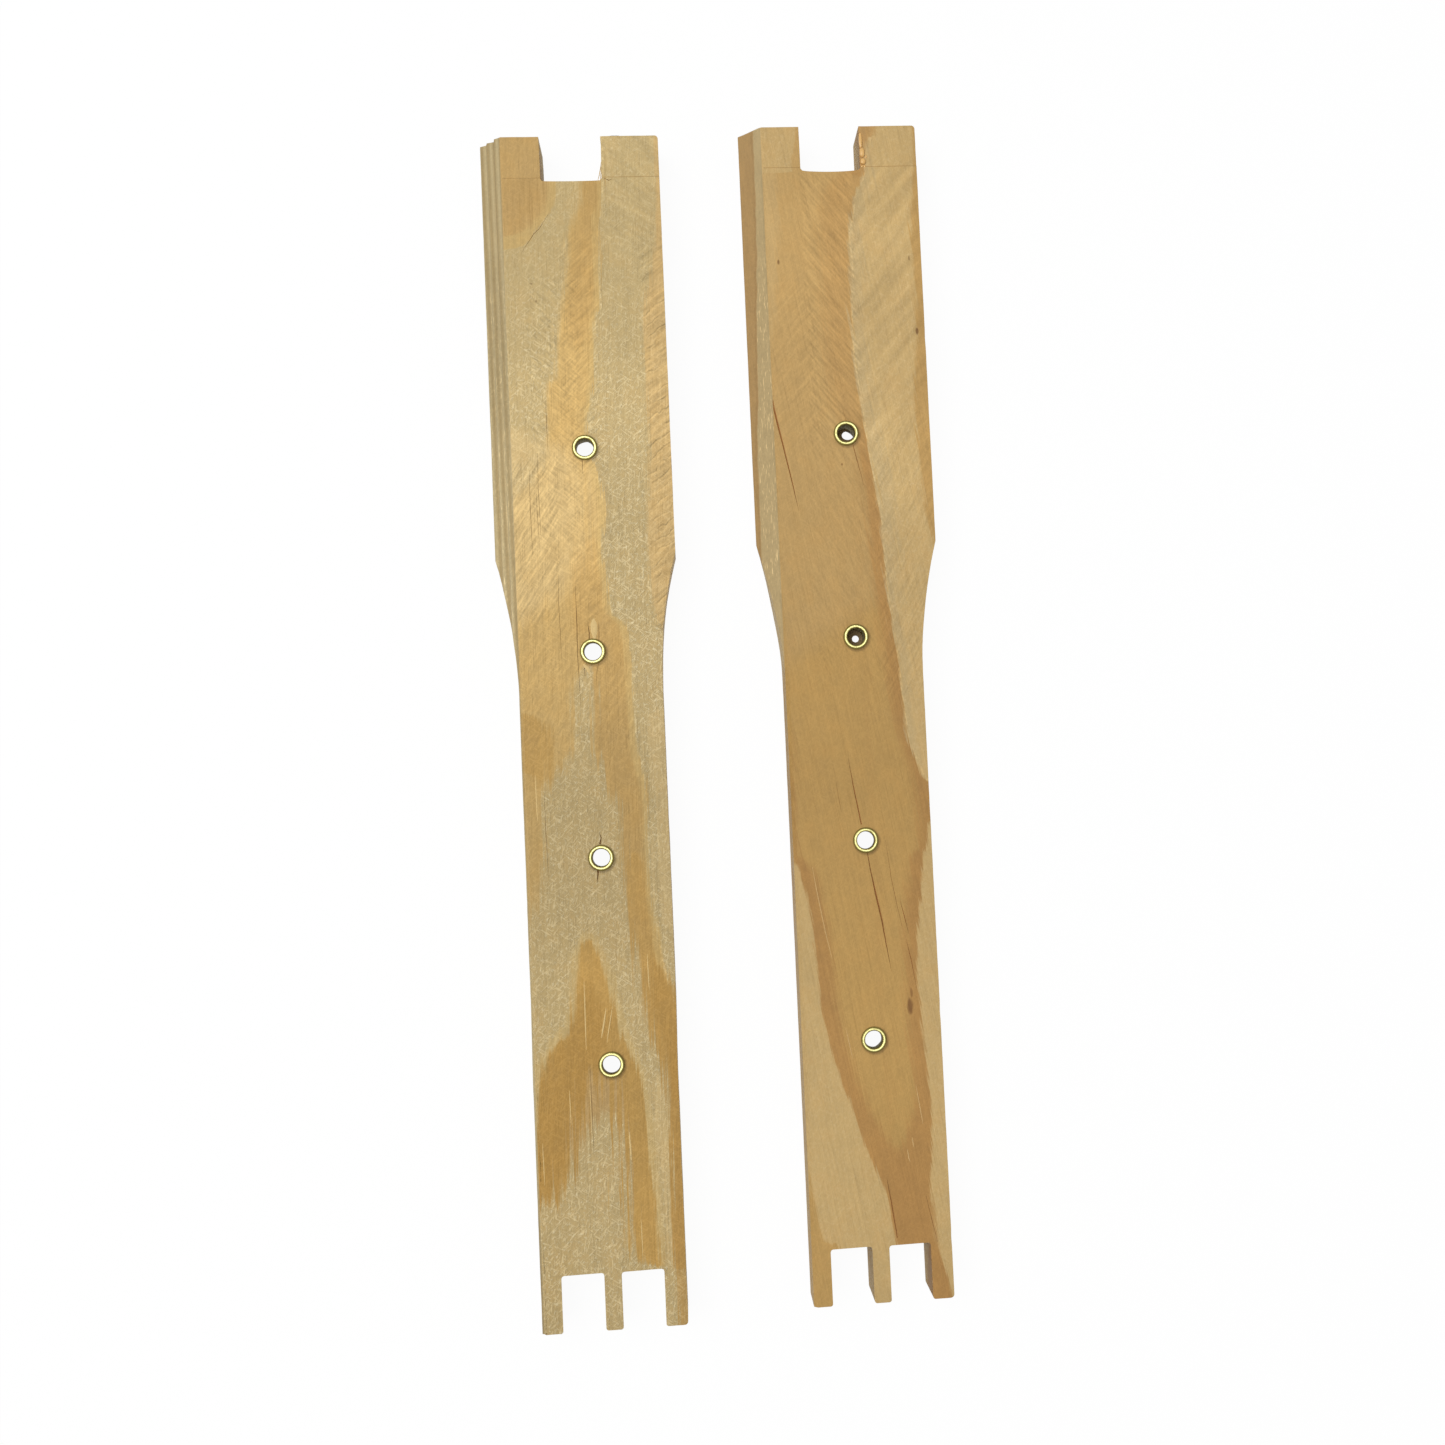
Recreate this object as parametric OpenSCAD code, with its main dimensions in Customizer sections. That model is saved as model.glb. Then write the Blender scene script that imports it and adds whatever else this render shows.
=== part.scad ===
// A pair of self-spacing side bars from a deep hive frame.
// Each bar has a V edge down one side of its head, a notch for the top bar, three teeth for a slotted
// bottom bar, and four brass eyelets for the frame wires. Both bars lie flat, with their heads towards +Y.

/* [Board] */
// Length of a bar, from its teeth to the tips of its prongs
bar_length = 231.8; // [220:0.1:300]
// Thickness of the board
board_thickness = 9.5; // [9:0.1:12]
// Width of the head, over the V edge
head_width = 35.4; // [33:0.1:40]
// How far the V edge stands out past the board's faces
vee_height = 4.5; // [2:0.1:5.5]
// Radius that eases the corners of the prongs and teeth
corner_ease = 0.6; // [0.2:0.1:1]

/* [Side cuts] */
// Length of the full-width head, from the prong tips to the side cuts
head_length = 83.2; // [60:0.1:95]
// How far each side is cut in below the head
side_cut = 3.8; // [2:0.1:4.5]
// Radius of the cutter that shapes the end of each side cut
cutter_radius = 101.6; // [50:0.1:150]

/* [Top notch] */
// Width of the notch that takes the top bar
notch_width = 12; // [9:0.1:14]
// Depth of the notch
notch_depth = 9.2; // [8.5:0.1:14]
// Sideways distance from the middle of the head to the middle of the notch
notch_offset = 0.3; // [-1:0.1:1]
// Depth of the shallow cut across the front of the prongs
skim_depth = 0.2; // [0.1:0.05:0.5]
// Length of the shallow cut, down from the prong tips
skim_length = 8.3; // [5:0.1:8.4]

/* [Bottom slots] */
// Width of each of the two slots between the teeth
slot_width = 8.1; // [6:0.1:9]
// Depth of the slots
slot_depth = 10.8; // [6:0.1:14]
// Width of the middle tooth, between the two slots
middle_tooth = 3.3; // [2:0.1:6]

/* [Eyelets] */
// Distance from the prong tips to the first eyelet
first_eyelet = 62.2; // [50:0.1:75]
// Distance between neighbouring eyelets
eyelet_pitch = 40; // [30:0.1:42]
// Sideways distance from the middle of the head to the row of eyelets
eyelet_offset = 0.9; // [-2:0.1:2]
// How far the left bar's last eyelet was pressed in above its even place
left_last_rise = 0.4; // [0:0.1:2]
// How far the left bar's last eyelet was pressed in to the right of the others
left_last_shift = 0.4; // [0:0.1:1]
// How far the right bar's second and third eyelets were pressed in below their even places
right_middle_drop = 0.5; // [0:0.1:1]
// How far the right bar's last eyelet was pressed in above its even place
right_last_rise = 0.8; // [0:0.1:2]
// How far the right bar's last eyelet was pressed in to the left of the others
right_last_shift = 0.3; // [0:0.1:1]
// Diameter of the hole that the wire passes through
bore_diameter = 3.4; // [2.5:0.1:4]
// Thickness of the eyelet's brass
eyelet_wall = 0.25; // [0.2:0.05:0.3]
// How far the rolled rim reaches past the barrel
rim_overhang = 0.55; // [0.45:0.05:0.8]
// Length of the barrel below the face of the board
barrel_length = 7; // [3:0.1:8]
// Clearance all round between the barrel and its drilled hole
barrel_clearance = 0.02; // [0.01:0.01:0.1]

/* [Pair] */
// Distance between the middles of the two bars
bar_spacing = 51.5; // [45:0.1:80]
// How far the right bar lies ahead of the left one
right_bar_lead = 1.4; // [0:0.1:10]

/* [Hidden] */

// Sizes that follow from the ones above
foot_width = head_width - 2 * side_cut;
slot_pitch = slot_width + middle_tooth;
slot_edge = middle_tooth / 2 + slot_width;
run_out = sqrt(2 * cutter_radius * side_cut - side_cut * side_cut);
side_cut_end = bar_length - head_length - run_out;
barrel_radius = bore_diameter / 2 + eyelet_wall;
rim_height = (eyelet_wall + rim_overhang) / 2;

// How far a cutting shape runs past the surface that it cuts
past = 1;

pale_pine = [0.80, 0.72, 0.54];
warm_pine = [0.77, 0.63, 0.42];
brass = [0.80, 0.66, 0.32];

$fn = 64;

// Where the eyelets of a bar are: across from the middle of its head, and up from its foot
function eyelet_places(middle_drop, last_rise, last_shift) = [
    for (number = [1 : 4]) [
        eyelet_offset + (number == 4 ? last_shift : 0),
        bar_length - first_eyelet - (number - 1) * eyelet_pitch
            + (number == 4 ? last_rise : number == 1 ? 0 : -middle_drop)
    ]
];

LEFT_EYELETS = eyelet_places(0, left_last_rise, left_last_shift);
RIGHT_EYELETS = eyelet_places(right_middle_drop, right_last_rise, -right_last_shift);

// The board's full-length section: square on the right, a V along the left
module board_section() {
    shoulder = -head_width / 2 + vee_height;
    polygon([
        [head_width / 2, 0],
        [head_width / 2, board_thickness],
        [shoulder, board_thickness],
        [-head_width / 2, board_thickness / 2],
        [shoulder, 0]
    ]);
}

module board() {
    translate([0, bar_length, 0])
        rotate([90, 0, 0])
            linear_extrude(height = bar_length) board_section();
}

// The path of a round cutter that narrows the right side from the foot up, and runs out in an arc
module side_cutter() {
    translate([foot_width / 2, -past, -past])
        cube([side_cut + past, side_cut_end + past, board_thickness + 2 * past]);
    translate([foot_width / 2 + cutter_radius, side_cut_end, -past])
        cylinder(r = cutter_radius, h = board_thickness + 2 * past);
}

module notch_cutter() {
    translate([notch_offset - notch_width / 2, bar_length - notch_depth, -past])
        cube([notch_width, notch_depth + past, board_thickness + 2 * past]);
}

module skim_cutter() {
    translate([-head_width / 2 - past, bar_length - skim_length, board_thickness - skim_depth])
        cube([head_width + 2 * past, skim_length + past, skim_depth + past]);
}

module slot_cutters() {
    for (side = [-1, 1])
        translate([side * slot_pitch / 2 - slot_width / 2, -past, -past])
            cube([slot_width, slot_depth + past, board_thickness + 2 * past]);
}

module eyelet_hole_cutters(places) {
    for (place = places)
        translate([place.x, place.y, -past])
            cylinder(r = barrel_radius + barrel_clearance, h = board_thickness + 2 * past);
}

// Takes off the square corner at (x, y); out_x and out_y say which way the corner points
module corner_cutter(x, y, out_x, out_y) {
    block = corner_ease + past;
    translate([x - out_x * corner_ease, y - out_y * corner_ease, -past])
        difference() {
            translate([min(0, out_x * block), min(0, out_y * block), 0])
                cube([block, block, board_thickness + 2 * past]);
            translate([0, 0, -past])
                cylinder(r = corner_ease, h = board_thickness + 4 * past);
        }
}

module prong_corner_cutters() {
    for (side = [-1, 1]) {
        corner_cutter(side * head_width / 2, bar_length, side, 1);
        corner_cutter(notch_offset + side * notch_width / 2, bar_length, -side, 1);
    }
}

module tooth_corner_cutters() {
    for (side = [-1, 1]) {
        corner_cutter(side * middle_tooth / 2, 0, side, -1);
        corner_cutter(side * slot_edge, 0, -side, -1);
        corner_cutter(side * foot_width / 2, 0, side, -1);
    }
}

// One whole bar, with its foot on y = 0 and its back on z = 0
module end_bar(eyelet_places) {
    difference() {
        board();
        side_cutter();
        mirror([1, 0, 0]) side_cutter();
        notch_cutter();
        skim_cutter();
        slot_cutters();
        eyelet_hole_cutters(eyelet_places);
        prong_corner_cutters();
        tooth_corner_cutters();
    }
}

// The rim is a half ring of sheet, curled out and down until it meets the board's face
module rolled_rim() {
    rotate_extrude()
        translate([bore_diameter / 2 + rim_height, 0])
            intersection() {
                difference() {
                    circle(r = rim_height);
                    circle(r = rim_height - eyelet_wall);
                }
                translate([-rim_height, 0]) square([2 * rim_height, rim_height]);
            }
}

module barrel() {
    translate([0, 0, -barrel_length])
        rotate_extrude()
            translate([bore_diameter / 2, 0]) square([eyelet_wall, barrel_length]);
}

// One eyelet at its place in a bar, its rim on the front face
module eyelet(place) {
    color(brass)
        translate([place.x, place.y, board_thickness]) {
            rolled_rim();
            barrel();
        }
}

module in_left_place() {
    translate([-bar_spacing / 2, -(bar_length + right_bar_lead) / 2, 0]) children();
}

module in_right_place() {
    translate([bar_spacing / 2, -(bar_length - right_bar_lead) / 2, 0]) children();
}

module end_bar_left() {
    color(pale_pine) in_left_place() end_bar(LEFT_EYELETS);
}

module end_bar_right() {
    color(warm_pine) in_right_place() end_bar(RIGHT_EYELETS);
}

module eyelet_left(number) {
    in_left_place() eyelet(LEFT_EYELETS[number - 1]);
}

module eyelet_right(number) {
    in_right_place() eyelet(RIGHT_EYELETS[number - 1]);
}

end_bar_left();
end_bar_right();
eyelet_left(1);  // eyelet_left_1
eyelet_left(2);  // eyelet_left_2
eyelet_left(3);  // eyelet_left_3
eyelet_left(4);  // eyelet_left_4
eyelet_right(1);  // eyelet_right_1
eyelet_right(2);  // eyelet_right_2
eyelet_right(3);  // eyelet_right_3
eyelet_right(4);  // eyelet_right_4
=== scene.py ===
"""A pair of pine end bars for a hive frame, with their brass eyelets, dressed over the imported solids."""

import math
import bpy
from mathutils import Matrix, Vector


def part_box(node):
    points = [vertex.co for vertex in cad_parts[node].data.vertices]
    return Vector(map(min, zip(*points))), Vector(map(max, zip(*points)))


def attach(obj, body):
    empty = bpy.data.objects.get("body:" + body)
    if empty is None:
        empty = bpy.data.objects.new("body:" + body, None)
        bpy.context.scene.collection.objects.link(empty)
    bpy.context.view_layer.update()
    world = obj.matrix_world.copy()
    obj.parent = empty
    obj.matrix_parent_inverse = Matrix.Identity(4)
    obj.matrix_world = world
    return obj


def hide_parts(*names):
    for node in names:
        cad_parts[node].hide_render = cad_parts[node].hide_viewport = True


bl_info = {
    "name": "Hive frame end bars",
    "version": (1, 0, 0),
    "blender": (4, 5, 0),
    "location": "3D View > Sidebar > End bars",
    "description": "Milled pine end bars with pressed brass eyelets, on a plain pale floor",
    "category": "Object",
}

from collections import namedtuple

import bmesh
import bpy
from bpy.props import FloatProperty, FloatVectorProperty, PointerProperty
from mathutils import Euler, Vector, noise

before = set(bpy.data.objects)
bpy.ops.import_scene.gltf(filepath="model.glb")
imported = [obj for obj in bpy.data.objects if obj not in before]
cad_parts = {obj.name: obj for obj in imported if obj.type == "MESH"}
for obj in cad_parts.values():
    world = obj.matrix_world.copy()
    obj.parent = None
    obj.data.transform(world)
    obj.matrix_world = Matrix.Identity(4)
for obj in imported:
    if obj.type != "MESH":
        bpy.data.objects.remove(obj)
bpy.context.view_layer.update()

MM = 0.001


# ---- what the solids say, in millimetres


def solid_box(node):
    """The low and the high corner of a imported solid."""
    low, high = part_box(node)
    return low / MM, high / MM


LEFT_LOW, LEFT_HIGH = solid_box("end_bar_left")
RIGHT_LOW, RIGHT_HIGH = solid_box("end_bar_right")
LENGTH = LEFT_HIGH.y - LEFT_LOW.y
THICKNESS = LEFT_HIGH.z - LEFT_LOW.z
HALF_HEAD = (LEFT_HIGH.x - LEFT_LOW.x) / 2
SIDES, NUMBERS = ("left", "right"), (1, 2, 3, 4)
EYELET_BOXES = {
    (side, number): solid_box(f"eyelet_{side}_{number}") for side in SIDES for number in NUMBERS
}

# Of every end bar, in millimetres: across from its middle, down from its tips and up from its back.
HALF_FOOT = HALF_HEAD - 3.8
SHOULDER = HALF_HEAD - 4.5
SIDE_CUT_START = 83.2
CUTTER_RADIUS = 101.6
SIDE_CUT_END = SIDE_CUT_START + math.sqrt(CUTTER_RADIUS**2 - (CUTTER_RADIUS - (HALF_HEAD - HALF_FOOT)) ** 2)
NOTCH_WIDTH, NOTCH_DEPTH, NOTCH_OFFSET = 12.0, 9.2, 0.3
SLOT_WIDTH, SLOT_DEPTH, SLOT_REACH = 8.1, 10.8, 5.7
SKIM_END, SKIM_DEPTH = 8.35, 0.2  # the skim cut across the front of the prongs
CORNER, TOOTH_CORNER = 0.7, 0.5  # how round the ends of the bar and the inner corners of its teeth are
HOLE = 1.97  # the radius of a drilled hole
OUT = 20.0  # a distance across that is past either side of a bar


def place_of(side):
    """Where the middle of a bar's tips is, in metres."""
    low, high = (LEFT_LOW, LEFT_HIGH) if side == "left" else (RIGHT_LOW, RIGHT_HIGH)
    return Vector(((low.x + high.x) / 2 * MM, high.y * MM, low.z * MM))


def eyelet_place(side, number):
    """An eyelet's middle, across and down from the bar's tips."""
    low, high = EYELET_BOXES[side, number]
    origin = place_of(side) / MM
    return (low.x + high.x) / 2 - origin.x, origin.y - (low.y + high.y) / 2


# ---- shader nodes


def tint(red, green, blue):
    """A screen colour as the linear colour that Blender works in."""
    screen = red, green, blue
    return tuple(c / 3294.6 if c <= 10.3 else ((c / 255 + 0.055) / 1.055) ** 2.4 for c in screen)


class Wire:
    """A value that runs through a finish. Arithmetic on it adds the Math nodes that work it out."""

    def __init__(self, finish, node, output=0):
        self.finish, self.node = finish, node
        self.socket = node.outputs[output] if len(node.outputs) else None

    def other(self, output):
        return Wire(self.finish, self.node, output)

    def __add__(self, other):
        return self.finish.math("ADD", self, other)

    def __sub__(self, other):
        return self.finish.math("SUBTRACT", self, other)

    def __rsub__(self, other):
        return self.finish.math("SUBTRACT", other, self)

    def __mul__(self, other):
        return self.finish.math("MULTIPLY", self, other)

    def __truediv__(self, other):
        return self.finish.math("DIVIDE", self, other)

    def __pow__(self, other):
        return self.finish.math("POWER", self, other)

    def __abs__(self):
        return self.finish.math("ABSOLUTE", self)

    __radd__, __rmul__ = __add__, __mul__


class Finish:
    """A material or world, and the few ways in which its nodes are made."""

    def __init__(self, holder):
        holder.use_nodes = True
        self.holder, self.tree = holder, holder.node_tree
        self.tree.nodes.clear()

    def node(self, kind, settings=None, inputs=None, output=0):
        made = self.tree.nodes.new("ShaderNode" + kind)
        for name, value in (settings or {}).items():
            if name == "curve":
                line = made.mapping.curves[0]
                line.points[0].location, line.points[1].location = value[0], value[-1]
                for point in value[1:-1]:
                    line.points.new(*point)
                for point in line.points:
                    point.handle_type = "AUTO_CLAMPED"
                made.mapping.extend = "HORIZONTAL"
                made.mapping.update()
            else:
                setattr(made, name, value)
        for name, value in (inputs or {}).items():
            if isinstance(value, Wire):
                self.tree.links.new(value.socket, made.inputs[name])
            else:
                made.inputs[name].default_value = value
        return Wire(self, made, output)

    def math(self, operation, *values):
        return self.node("Math", {"operation": operation}, dict(enumerate(values)))

    def mix(self, share, first, second, blend="MIX"):
        first, second = ((*c, 1.0) if isinstance(c, tuple) else c for c in (first, second))
        values = {0: share, 6: first, 7: second}
        return self.node("Mix", {"data_type": "RGBA", "blend_type": blend}, values, 2)

    def scale(self, colour, amount):
        """A colour made lighter or darker by a number."""
        grey = self.node("CombineColor", None, {0: amount, 1: amount, 2: amount})
        return self.mix(1.0, colour, grey, "MULTIPLY")

    def rise(self, value, start, end):
        """0 at start and 1 at end, with a soft turn at both."""
        ends = {"Value": value, "From Min": start, "From Max": end}
        return self.node("MapRange", {"interpolation_type": "SMOOTHSTEP"}, ends)

    def line(self, along, points):
        """The height of a drawn line {along: height}, level beyond its ends."""
        if not isinstance(points, dict):
            return points
        xs, ys = [*points], [*points.values()]
        x0, width, y0, height = xs[0], xs[-1] - xs[0], min(ys), max(max(ys) - min(ys), 1e-6)
        drawn = [((x - x0) / width, (y - y0) / height) for x, y in points.items()]
        return self.node("FloatCurve", {"curve": drawn}, {"Value": (along - x0) / width}) * height + y0

    def noise(self, size, slope=0.0, detail=2.0, roughness=0.5, warp=0.0, seed=0.0):
        """Noise in cells of size (across, down, up) millimetres, which climb to the right at slope degrees."""
        turned = {
            "Vector": self.node("TexCoord", None, None, "Object"),
            "Location": (0.0, 0.0, seed * MM),
            "Rotation": (0.0, 0.0, math.radians(slope)),
            "Scale": [length * MM for length in size],
        }
        where = self.node("Mapping", {"vector_type": "TEXTURE"}, turned)
        values = {"Vector": where, "Scale": 1.0, "Detail": detail}
        values |= {"Roughness": roughness, "Distortion": warp}
        return self.node("TexNoise", None, values)

    def place(self):
        """Across, down and up on a bar, in millimetres."""
        split = self.node("SeparateXYZ", None, {0: self.node("TexCoord", None, None, "Object")})
        return split * (1 / MM), split.other("Y") * (-1 / MM), split.other("Z") * (1 / MM)

    def facing(self):
        """How far the surface faces sideways and how far it faces along the bar, 0 to 1."""
        split = self.node("SeparateXYZ", None, {0: self.node("TexCoord", None, None, "Normal")})
        return abs(split), abs(split.other("Y"))

    def surface(self, colour, roughness, height=None, depth=1.0, **fixed):
        """Ends a finish in one Principled surface. Height is in millimetres of relief, times depth."""
        values = {"Base Color": colour, "Roughness": roughness, **fixed}
        if height is not None:
            bump = {"Height": height, "Distance": depth * MM, "Strength": 1.0}
            values["Normal"] = self.node("Bump", None, bump)
        shader = self.node("BsdfPrincipled", None, values)
        self.node("OutputMaterial", None, {"Surface": shader})
        return self.holder


def finish(name):
    """A new material."""
    return Finish(bpy.data.materials.new(name))


# ---- the grain figure of the two bars
# Each band of the figure lies between two lines, given as {down from the tips: across from the middle}.
# Its edges are left_soft and right_soft wide, share is how much of its tone it lays on, and feather says
# how far its edges break up into fibres.

Band = namedtuple("Band", "tone left right left_soft right_soft share feather")

LEFT_FIGURE = (
    # the golden heart, from the notch down; below the first eyelet it takes the whole left side
    Band("gold",
         {0: 2.4, 9: 2.2, 13: 2, 17: 0.2, 20: -0.8, 28: -1.2, 34: -2.5, 41: -3.4, 48: -4.4, 50: -5.8,
          60: -6.4, 66: -8, 72: -13, 78: -OUT},
         {0: 6.6, 9: 6.3, 13: 6, 17: 5.4, 20: 4.9, 24: 5.1, 30: 4.9, 34: 5, 36: 4, 42: 3.5, 48: 3.4,
          53: 2.5, 58: 1.5, 62: 1.5, 66: 2.6, 72: 3.7, 75: 4.2, 78: 4, 82: 3.5, 86: 4, 94: 4.5, 96: 6,
          98: 7.5, 103: 8, 110: 8.2, 120: 8.4, 125: 9.3, 130: 9.8, 147: 10, 153: 10.8, 160: 11.3, 164: 12,
          168: 13, 172: 14.2, 178: OUT}, 2.2, 0.4, 1, 4),
    # its orange core, from the notch to the first eyelet and again around the second
    Band("amber", {0: 2.8, 10: 2.7, 17: 1.6, 22: 0.2, 30: -0.6, 36: -1.4, 44: 2},
         {0: 6, 10: 5.9, 17: 4.9, 22: 4.2, 30: 4, 36: 3.2, 44: 0}, 2.4, 1.2, 0.28, 3),
    Band("amber",
         {78: 4, 82: -0.6, 86: -2.1, 94: -2.4, 104: -1.2, 108: 0.4, 122: 0.9, 130: 3, 140: 5, 176: 5},
         {78: 0, 82: 3, 86: 3.4, 94: 3.9, 97: 6, 103: 7, 122: 7.6, 130: 8.8, 147: 9.2, 160: 10.4, 168: 11.8,
          176: 16}, 2, 1.4, 0.3, 3),
    Band("flame", {140: 9, 146: 5.4, 160: 6.4, 170: 8.2, 180: 9.5, 186: 14},
         {140: 7, 146: 9.6, 153: 10.6, 160: 11.8, 168: 13.4, 174: 15, 182: 15, 186: 12}, 1.4, 0.8, 0.6, 4),
    Band("ember", {160: 11, 166: 9, 174: 9.8, 182: 11.5, 190: 12.5},
         {160: 9.5, 166: 12.5, 172: OUT, 184: OUT, 190: 12}, 1.8, 1, 0.6, 8),
    # straw-coloured wood left of the first eyelet, lighter also by a painted sheen where it is planed
    Band("straw", -OUT, {56: -OUT, 60: -9, 64: -2, 70: 1.5, 80: 1, 88: -3, 94: -9, 100: -OUT},
         0.3, 9, 0.66, 8),
    # the yellow rim inside its right edge
    Band("rim",
         {13: 5.4, 20: 4, 34: 4.2, 36: 3.2, 45: 2.7, 53: 1.7, 58: 0.7, 62: 0.8, 66: 1.6, 72: 2.6, 75: 3.1,
          82: 2.4, 90: 3.2, 94: 3.5, 98: 6.6, 105: 7.3, 120: 7.5, 130: 8.8, 147: 9.1, 153: 9.8, 160: 10.2,
          166: 13},
         {13: 5.9, 20: 4.9, 34: 5, 36: 4, 45: 3.5, 53: 2.6, 58: 1.6, 62: 1.6, 66: 2.7, 72: 3.8, 75: 4.3,
          82: 3.6, 90: 4.3, 94: 4.6, 98: 7.6, 105: 8.1, 120: 8.5, 130: 9.9, 147: 10.1, 153: 11, 160: 12,
          166: 11}, 0.9, 0.5, 0.55, 1),
    # the pinkish tongue below the second eyelet, which widens to the whole foot
    Band("pale",
         {104.4: 1.6, 105.4: -0.9, 108: -2.6, 112: -3.2, 118: -2.9, 121: -3.4, 125: -6.4, 128: -8,
          131: -9.6, 140: -10, 145: -11.5, 150: -14, 156: -OUT},
         {104.4: -0.8, 105.4: 0.4, 112: 0.8, 120: 0.5, 124: 1.5, 128: 3, 133: 4.5, 140: 5, 147: 5.3, 153: 6,
          158: 6.5, 163: 7.1, 170: 8.1, 178: 9, 183: 11, 190: 11.6, 200: 11.8, 232: 11.8}, 2, 1.3, 0.9, 9),
    # orange threads along the left edge beside it
    Band("flame", -OUT, {112: -OUT, 116: -9, 122: -7.6, 127: -8.2, 130: -OUT}, 0.3, 2, 0.75, 8),
    Band("gold", -OUT, {124: -OUT, 128: -9.6, 136: -9.7, 145: -10.4, 152: -12.4, 158: -OUT},
         0.3, 1.6, 0.75, 9),
    # lighter wood between the bands and the square edge
    Band("straw", {112: OUT, 118: 10.4, 130: 11.2, 147: 11.4, 156: 13, 160: OUT}, OUT, 2, 0.3, 0.4, 8),
    Band("straw", {182: 12, 188: 8.8, 196: 9, 205: 9.6, 215: 10, 224: 11},
         {182: 10, 188: 10.8, 196: 11.4, 215: 11.6, 224: 10}, 1.2, 1.2, 0.5, 8),
    # the flame at the fourth eyelet, with its light haze, and its two lobes down to the foot
    Band("rim", {155: -1, 157: -3.4, 160: -5.2, 166: -5.6, 173: -7.2, 177: -10.5, 181: -13, 184: -OUT},
         {155: -4, 157: -1, 160: 0.6, 166: 2.6, 173: 4, 180: 6.2, 190: 8.4, 200: 9.2, 219: 9.9, 232: 10},
         1.2, 0.8, 0.6, 3),
    Band("flame",
         {156.8: -1, 158: -2.9, 160: -3.9, 164: -4.5, 170: -5.2, 174: -6, 176: -7.2, 178: -9.6, 181: -11.6,
          186: -12.6, 194: -13.3, 202: -14.5, 208: -OUT},
         {156.8: -3.6, 158: -1.6, 162: 0, 167: 1.3, 172: 2.3, 176: 3.2, 180: 4.9, 184: 6.4, 190: 7.2,
          195: 7.7, 200: 8.1, 205: 8.6, 215: 9.1, 232: 9.4}, 1.2, 0.8, 1, 3.5),
    Band("ember", {162: -1.5, 168: -4, 173: -5.4, 178: -8.6, 182: -11.5, 190: -13, 203: -15, 208: -OUT},
         {162: -3.5, 168: -1.5, 176: 0.5, 182: -1.5, 190: -4, 198: -7, 208: -11}, 2.6, 3.2, 0.62, 9),
    Band("foot", {180: 2, 184: -2.5, 189: -5, 196: -6.2, 203: -7.5},
         {180: -3, 184: 0.8, 190: 1.8, 196: 2.8, 203: 3}, 3.4, 1.6, 0.85, 22),
    Band("pale", {190: 0, 195: -4.2, 200: -6.2, 205: -9.4, 209: -13, 213: -OUT},
         {188: -2, 193: 1.4, 200: 2.4, 210: 3, 216: 3.8, 219: 5.4, 222: OUT}, 3, 2.2, 0.92, 16),
    Band("ember", {173: OUT, 178: 13.2, 184: 12.4, 190: 12.1, 200: 12, 232: 12.1}, OUT, 0.9, 0.3, 0.66, 5),
    # the patch at the top of the left prong: tan above, orange inside, a yellow rim along its slanting end
    Band("patch", -OUT,
         {0: -5, 9.5: -2.6, 12: -2.7, 14.5: -3.5, 17: -5.5, 19.5: -7.5, 21.5: -9, 22.3: -12, 22.9: -OUT},
         0.3, 0.7, 1, 2),
    Band("amber", {8.2: -4, 9: -12, 11: -13.4, 16: -13.4, 20: -11},
         {8.2: -7, 9: -5.5, 11: -4.6, 14: -5.6, 17: -8, 20: -11.5}, 4, 4, 0.2, 10),
    Band("rim", {9: -3.8, 14: -4.8, 17: -7, 19: -9.4, 20: -13, 21: -OUT},
         {8: -6, 9.5: -2.6, 12: -2.7, 14.5: -3.4, 17: -5.4, 19.5: -7.4, 21.5: -8.9, 22.5: -12, 23.1: -OUT},
         2, 0.5, 0.8, 2),
    # the strip at the right edge of the head
    Band("edge",
         {0: 17.2, 14: 16.8, 24: 15.9, 29: 15, 34: 13.9, 40: 13.5, 60: 13.4, 70: 12.9, 80: 12.5, 92: 13,
          99: 15, 104: OUT}, OUT, 1, 0.3, 0.8, 3),
)

# The sharp edge of the right bar's sapwood, and the border between the brown and pale halves of its V edge.
SAPWOOD_LINE = {
    0: 8.6, 3.5: 8.4, 5: 7.4, 10: 6.8, 12: 6, 13: 5.3, 16.5: 4.5, 19: 4.1, 22.5: 3.3, 27: 3.5, 30: 3.6,
    33: 3.3, 37: 3, 45: 3, 49: 3.3, 52.5: 3.8, 57.5: 4.3, 60: 4.5, 65: 5, 69: 5.5, 74: 6.2, 78: 6.8,
    88: 7.2, 95: 7.5, 100: 8, 107: 8.8, 113: 9.2, 120: 9.9, 124: 10.5, 127: 11.5, 129: 12.3, 131: 13.1,
    133.5: OUT,
}
VEE_LINE = {0: -14.7, 20: -15, 30: -15.3, 40: -15.7, 50: -15.95, 60: -16.4, 70: -16.7, 80: -16.7, 100: -16.9}

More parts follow.
